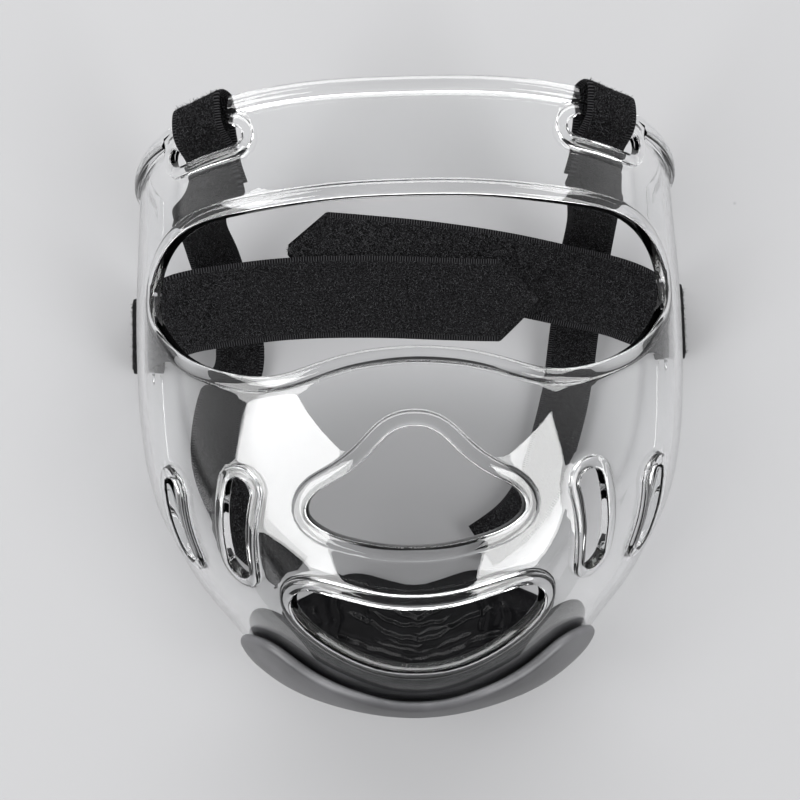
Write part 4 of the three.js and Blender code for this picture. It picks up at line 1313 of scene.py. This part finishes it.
        return make_piece(self.name + "_pile", points, [faces], LoopFibre().make(), "tape", fibre_tone=tone)


@dataclass
class TopStrap(Strap):
    """Narrow strap looped round the top rim through a slot."""

    bow: float = 1.3
    slot_half: float = 4.0

    def loop(self) -> tuple[Array, Array]:
        """Folded back inside, over the rim, down the front, in through the slot and down inside."""
        form, side, layers = self.form, self.side.value, self.layers(self.bow)
        tape = self.tape
        around = side * TOP_SLOT.around
        levels = {"slot": form.level(TOP_SLOT.up), "rim": form.top(np.array(around))}
        rows = [
            # from, step in halves of the slot's width, layer, lift in thicknesses, share of the lean
            ("slot", -2.75, "second", -4.00, 0.5), ("slot", -1.50, "second", -1.50, 0.9),
            ("slot", -0.25, "second", -0.22, 1.0), ("slot", 1.25, "first", -0.22, 1.1),
            ("rim", -0.75, "first", 0.00, 1.3), ("rim", 0.25, "first", 0.00, 1.3),
            ("rim", 0.62, "middle", 0.00, 1.3), ("rim", 0.35, "over_bead", 0.00, 1.3),
            ("rim", -1.00, "over_bead", 0.62, 1.2), ("slot", 1.60, "over_bead", 0.38, 1.0),
            ("slot", 0.80, "outer", 0.75, 1.0), ("slot", 0.15, "middle", 0.00, 1.0),
            ("slot", -0.65, "first", 0.00, 1.0), ("slot", -1.75, "first", -0.75, 0.9),
            ("slot", -3.00, "first", -3.10, 0.5)]
        level = np.array([levels[row[0]] + row[1] * self.slot_half for row in rows])
        off = np.array([layers[row[2]] + row[3] * tape.thick for row in rows])
        lean = np.array([row[4] for row in rows])
        per_degree = np.linalg.norm(form.point(around + 0.5, levels["slot"])
                                    - form.point(around - 0.5, levels["slot"]))
        span = tape.width / 2.0 / per_degree
        rise = side * tape.width / 2.0 * math.sin(TOP_SLOT.lean) * lean
        on = np.minimum(level, levels["rim"])
        across = unit(form.point(around + span, on - rise) - form.point(around - span, on + rise))
        return form.place(around, level, off), across


@dataclass
class SideStrap(Strap):
    """Wide strap looped round the rear rim through a slot, with a clipped end."""

    bow: float = 0.6
    leaves: float = 12.0
    clip_length: float = 13.0
    clip_tip: float = 4.0

    def loop(self) -> tuple[Array, Array]:
        """Folded back inside, under the rear rim, up the outside and in through the slot."""
        form, side, layers = self.form, self.side.value, self.layers(self.bow)
        rows = [
            # degrees from the slot, or None at the rim, layer, lift in thicknesses, height in reliefs
            (-11.0, "second", -0.22, 0.0), (-7.0, "second", -0.22, 0.0), (-3.0, "second", -0.22, 0.0),
            (0.0, "second", 0.0, 0.0), (3.5, "first", 0.0, 0.0), (None, "first", 0.0, 1.4),
            (None, "first", 0.5, 0.55), (None, "middle", 0.0, 0.285), (None, "outer", 0.125, 0.615),
            (None, "outer", 0.75, 1.53), (5.0, "outer", 1.25, 0.0), (2.2, "outer", 0.875, 0.0),
            (0.0, "middle", 0.0, 0.0), (-1.6, "first", 0.0, 0.0), (-self.leaves / 2.0, "first", 0.0, 0.0),
            (-self.leaves, "first", 0.0, 0.0)]
        around = side * np.array([90.0 if row[0] is None else SIDE_SLOT.around + row[0] for row in rows])
        level = np.full(len(rows), form.level(SIDE_SLOT.up))
        off = np.array([layers[row[1]] + row[2] * self.tape.thick for row in rows])
        points = form.place(around, level, off)
        at_rim = np.array([row[0] is None for row in rows])
        points[at_rim, 2] = RELIEF * np.array([row[3] for row in rows])[at_rim]
        _, rise, _ = form.frame(around, level)
        return points, rise

    def half_width(self, left: Array) -> Array:
        """The tape narrows to its tip over the last stretch."""
        share = np.clip(left / self.clip_length, 0.0, 1.0)
        return self.clip_tip / 2.0 + (self.tape.width - self.clip_tip) / 2.0 * share


# Studio

@dataclass
class Studio:
    """Table, lights and the camera straight above."""

    camera_at: tuple = (-4.2, 2.77, 520.0)
    camera_turn: float = -1.6
    lens: float = 56.25
    half_table: float = 15000.0
    table_gap: float = 0.05
    room: float = 0.8
    sky_lean: tuple = (0.0, -0.7, 0.9)
    sky_pale: tuple = (1.0, 1.0, 1.01)
    sky_dark: tuple = (0.07, 0.07, 0.073)
    lamps: tuple = (
        # name, direction to the light, its long side, size in metres, distance in metres, watts
        ("left_softbox", (-0.64, -0.16, 0.62), (0.39, 0.81, 0.44), (1.7, 0.66), 1.2, 23.0),
        ("right_softbox", (0.62, -0.33, 0.63), (-0.24, 0.86, 0.46), (1.6, 0.54), 1.2, 18.0),
        ("back_softbox", (0.04, 0.86, 0.46), (1.0, 0.0, 0.0), (2.2, 0.7), 1.3, 26.0))
    lit_point: tuple = (0.0, -0.01, 0.1)
    flag_x: tuple = (-450.0, 450.0)
    flag_y: tuple = (-900.0, -185.0)
    flag_lift: float = 0.5

    def plate(self, name: str, x: tuple, y: tuple, z: float, material: bpy.types.Material) -> bpy.types.Object:
        """Flat rectangle, in millimetres, that isn't part of the object."""
        corners = np.array([(x[0], y[0], z), (x[1], y[0], z), (x[1], y[1], z), (x[0], y[1], z)])
        mesh = bpy.data.meshes.new(name)
        mesh.from_pydata((corners * MM).tolist(), [], [(0, 1, 2, 3)])
        mesh.materials.append(material)
        rectangle = placed(name, mesh)
        return rectangle

    def floor(self) -> bpy.types.Object:
        """One large flat table top, a hair below the part."""
        reach = (-self.half_table, self.half_table)
        return self.plate("table", reach, reach, -self.table_gap, TableTop().make())

    def flag(self) -> bpy.types.Object:
        """Black card on the floor in front of the chin, out of the picture: only reflections show it."""
        card = self.plate("flag", self.flag_x, self.flag_y, self.flag_lift, BlackCard().make())
        card.visible_camera = card.visible_diffuse = card.visible_transmission = card.visible_shadow = False
        return card

    def softbox(self, name: str, toward: tuple, long_axis: tuple, size: tuple, distance: float,
                power: float) -> bpy.types.Object:
        """Rectangular light that faces the shield.

        Args:
            name: object name.
            toward: direction from the shield to the light.
            long_axis: direction of the light's long side.
            size: long and short side in metres.
            distance: metres from the shield.
            power: watts.
        """
        light = bpy.data.lights.new(name, "AREA")
        light.shape = "RECTANGLE"
        light.size, light.size_y = size
        light.energy = power
        lamp = placed(name, light)
        back = unit(np.array(toward, float))
        x = np.array(long_axis, float)
        x = unit(x - back * (x @ back))
        y = np.cross(back, x)
        matrix = np.eye(4)
        matrix[:3, 0], matrix[:3, 1], matrix[:3, 2] = x, y, back
        matrix[:3, 3] = back * distance + np.array(self.lit_point)
        lamp.matrix_world = Matrix(matrix.tolist())
        return lamp

    def world(self) -> None:
        """Even room light that is paler near the horizon than overhead."""
        world = bpy.data.worlds.new("room")
        bpy.context.scene.world = world
        world.use_nodes = True
        bench = NodeBench(world.node_tree)
        background = world.node_tree.nodes["Background"]
        place = bench.add("TexCoord")
        lean = bench.add("VectorMath", operation="DOT_PRODUCT")
        lean.inputs[1].default_value = self.sky_lean
        tone = bench.ramp(0.1, 0.8, self.sky_pale, self.sky_dark)
        height = bench.add("SeparateXYZ")
        above = bench.add("MapRange", From_Min=-0.02, From_Max=0.1, To_Min=0.05, To_Max=self.room)
        bench.link((place, "Generated", lean, 0), (lean, "Value", tone, "Fac"),
                   (tone, "Color", background, "Color"), (place, "Generated", height, 0),
                   (height, "Z", above, "Value"), (above, "Result", background, "Strength"))

    def camera(self) -> None:
        """Camera that looks straight down, turned a little, as the photograph was taken."""
        data = bpy.data.cameras.new("camera")
        data.lens, data.sensor_width = self.lens, 36.0
        data.clip_start, data.clip_end = 0.01, 50.0
        camera = placed("camera", data)
        camera.location = Vector(self.camera_at) * MM
        camera.rotation_euler = (0.0, 0.0, math.radians(self.camera_turn))
        bpy.context.scene.camera = camera

    def make(self) -> None:
        """Builds the whole studio."""
        self.floor()
        self.flag()
        self.world()
        for lamp in self.lamps:
            self.softbox(*lamp)
        bpy.context.scene.view_settings.view_transform = "Standard"


def main() -> None:
    """Builds the camera, the pieces in order and the studio."""
    logging.basicConfig(level=logging.INFO, format="%(name)s %(message)s")
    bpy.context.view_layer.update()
    studio = Studio()
    studio.camera()
    flat = ShellForm()
    form = ShellForm(lift=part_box("face_shield")[1][1] / MM - float(flat.top(np.array(0.0))))
    FaceShield(form).make()
    ChinBand(form).make()
    ChinCup(form).make()
    narrow, wide = Tape(20.0), Tape(30.0)
    TopStrap("left_top_strap", "top_strap_left", form, narrow, Side.LEFT, [
        # shares of half the width, the height and the depth, and degrees of turn
        (-0.710, 0.835, 0.47, 0), (-0.715, 0.800, 0.31, 0), (-0.695, 0.750, 0.18, -8),
        (-0.660, 0.680, 0.09, -16), (-0.640, 0.620, 0.07, -18), (-0.655, 0.565, 0.06, -16),
        (-0.705, 0.529, 0.06, -14), (-0.750, 0.453, 0.065, -10), (-0.750, 0.390, 0.065, -8),
        (-0.690, 0.315, 0.07, -16), (-0.590, 0.250, 0.08, -32), (-0.460, 0.195, 0.09, -42)], 11).make()
    TopStrap("right_top_strap", "top_strap_right", form, narrow, Side.RIGHT, [
        (0.650, 0.835, 0.47, 0), (0.660, 0.800, 0.33, 0), (0.655, 0.755, 0.21, 0), (0.645, 0.690, 0.12, 0),
        (0.625, 0.620, 0.08, 0), (0.595, 0.520, 0.06, 0), (0.550, 0.435, 0.055, 0), (0.500, 0.362, 0.055, 0),
        (0.405, 0.288, 0.06, 0), (0.255, 0.235, 0.07, 0)], 12).make()
    SideStrap("left_side_strap", "side_strap_left", form, wide, Side.LEFT, [
        (-0.83, 0.650, 0.535, 0), (-0.76, 0.662, 0.555, 0), (-0.60, 0.673, 0.56, 0), (-0.40, 0.681, 0.56, 0),
        (-0.10, 0.680, 0.56, 0), (0.10, 0.674, 0.56, 0), (0.29, 0.669, 0.56, 0), (0.43, 0.667, 0.56, 0)],
        13, leaves=12.0).make()
    SideStrap("right_side_strap", "side_strap_right", form, wide, Side.RIGHT, [
        (0.85, 0.650, 0.385, 0), (0.74, 0.672, 0.41, 0), (0.55, 0.694, 0.455, 0), (0.35, 0.715, 0.495, 0),
        (0.10, 0.735, 0.525, 0), (-0.12, 0.748, 0.537, 0), (-0.405, 0.763, 0.537, 0)], 14, leaves=7.0).make()
    studio.make()


if __name__ == "__main__":
    main()
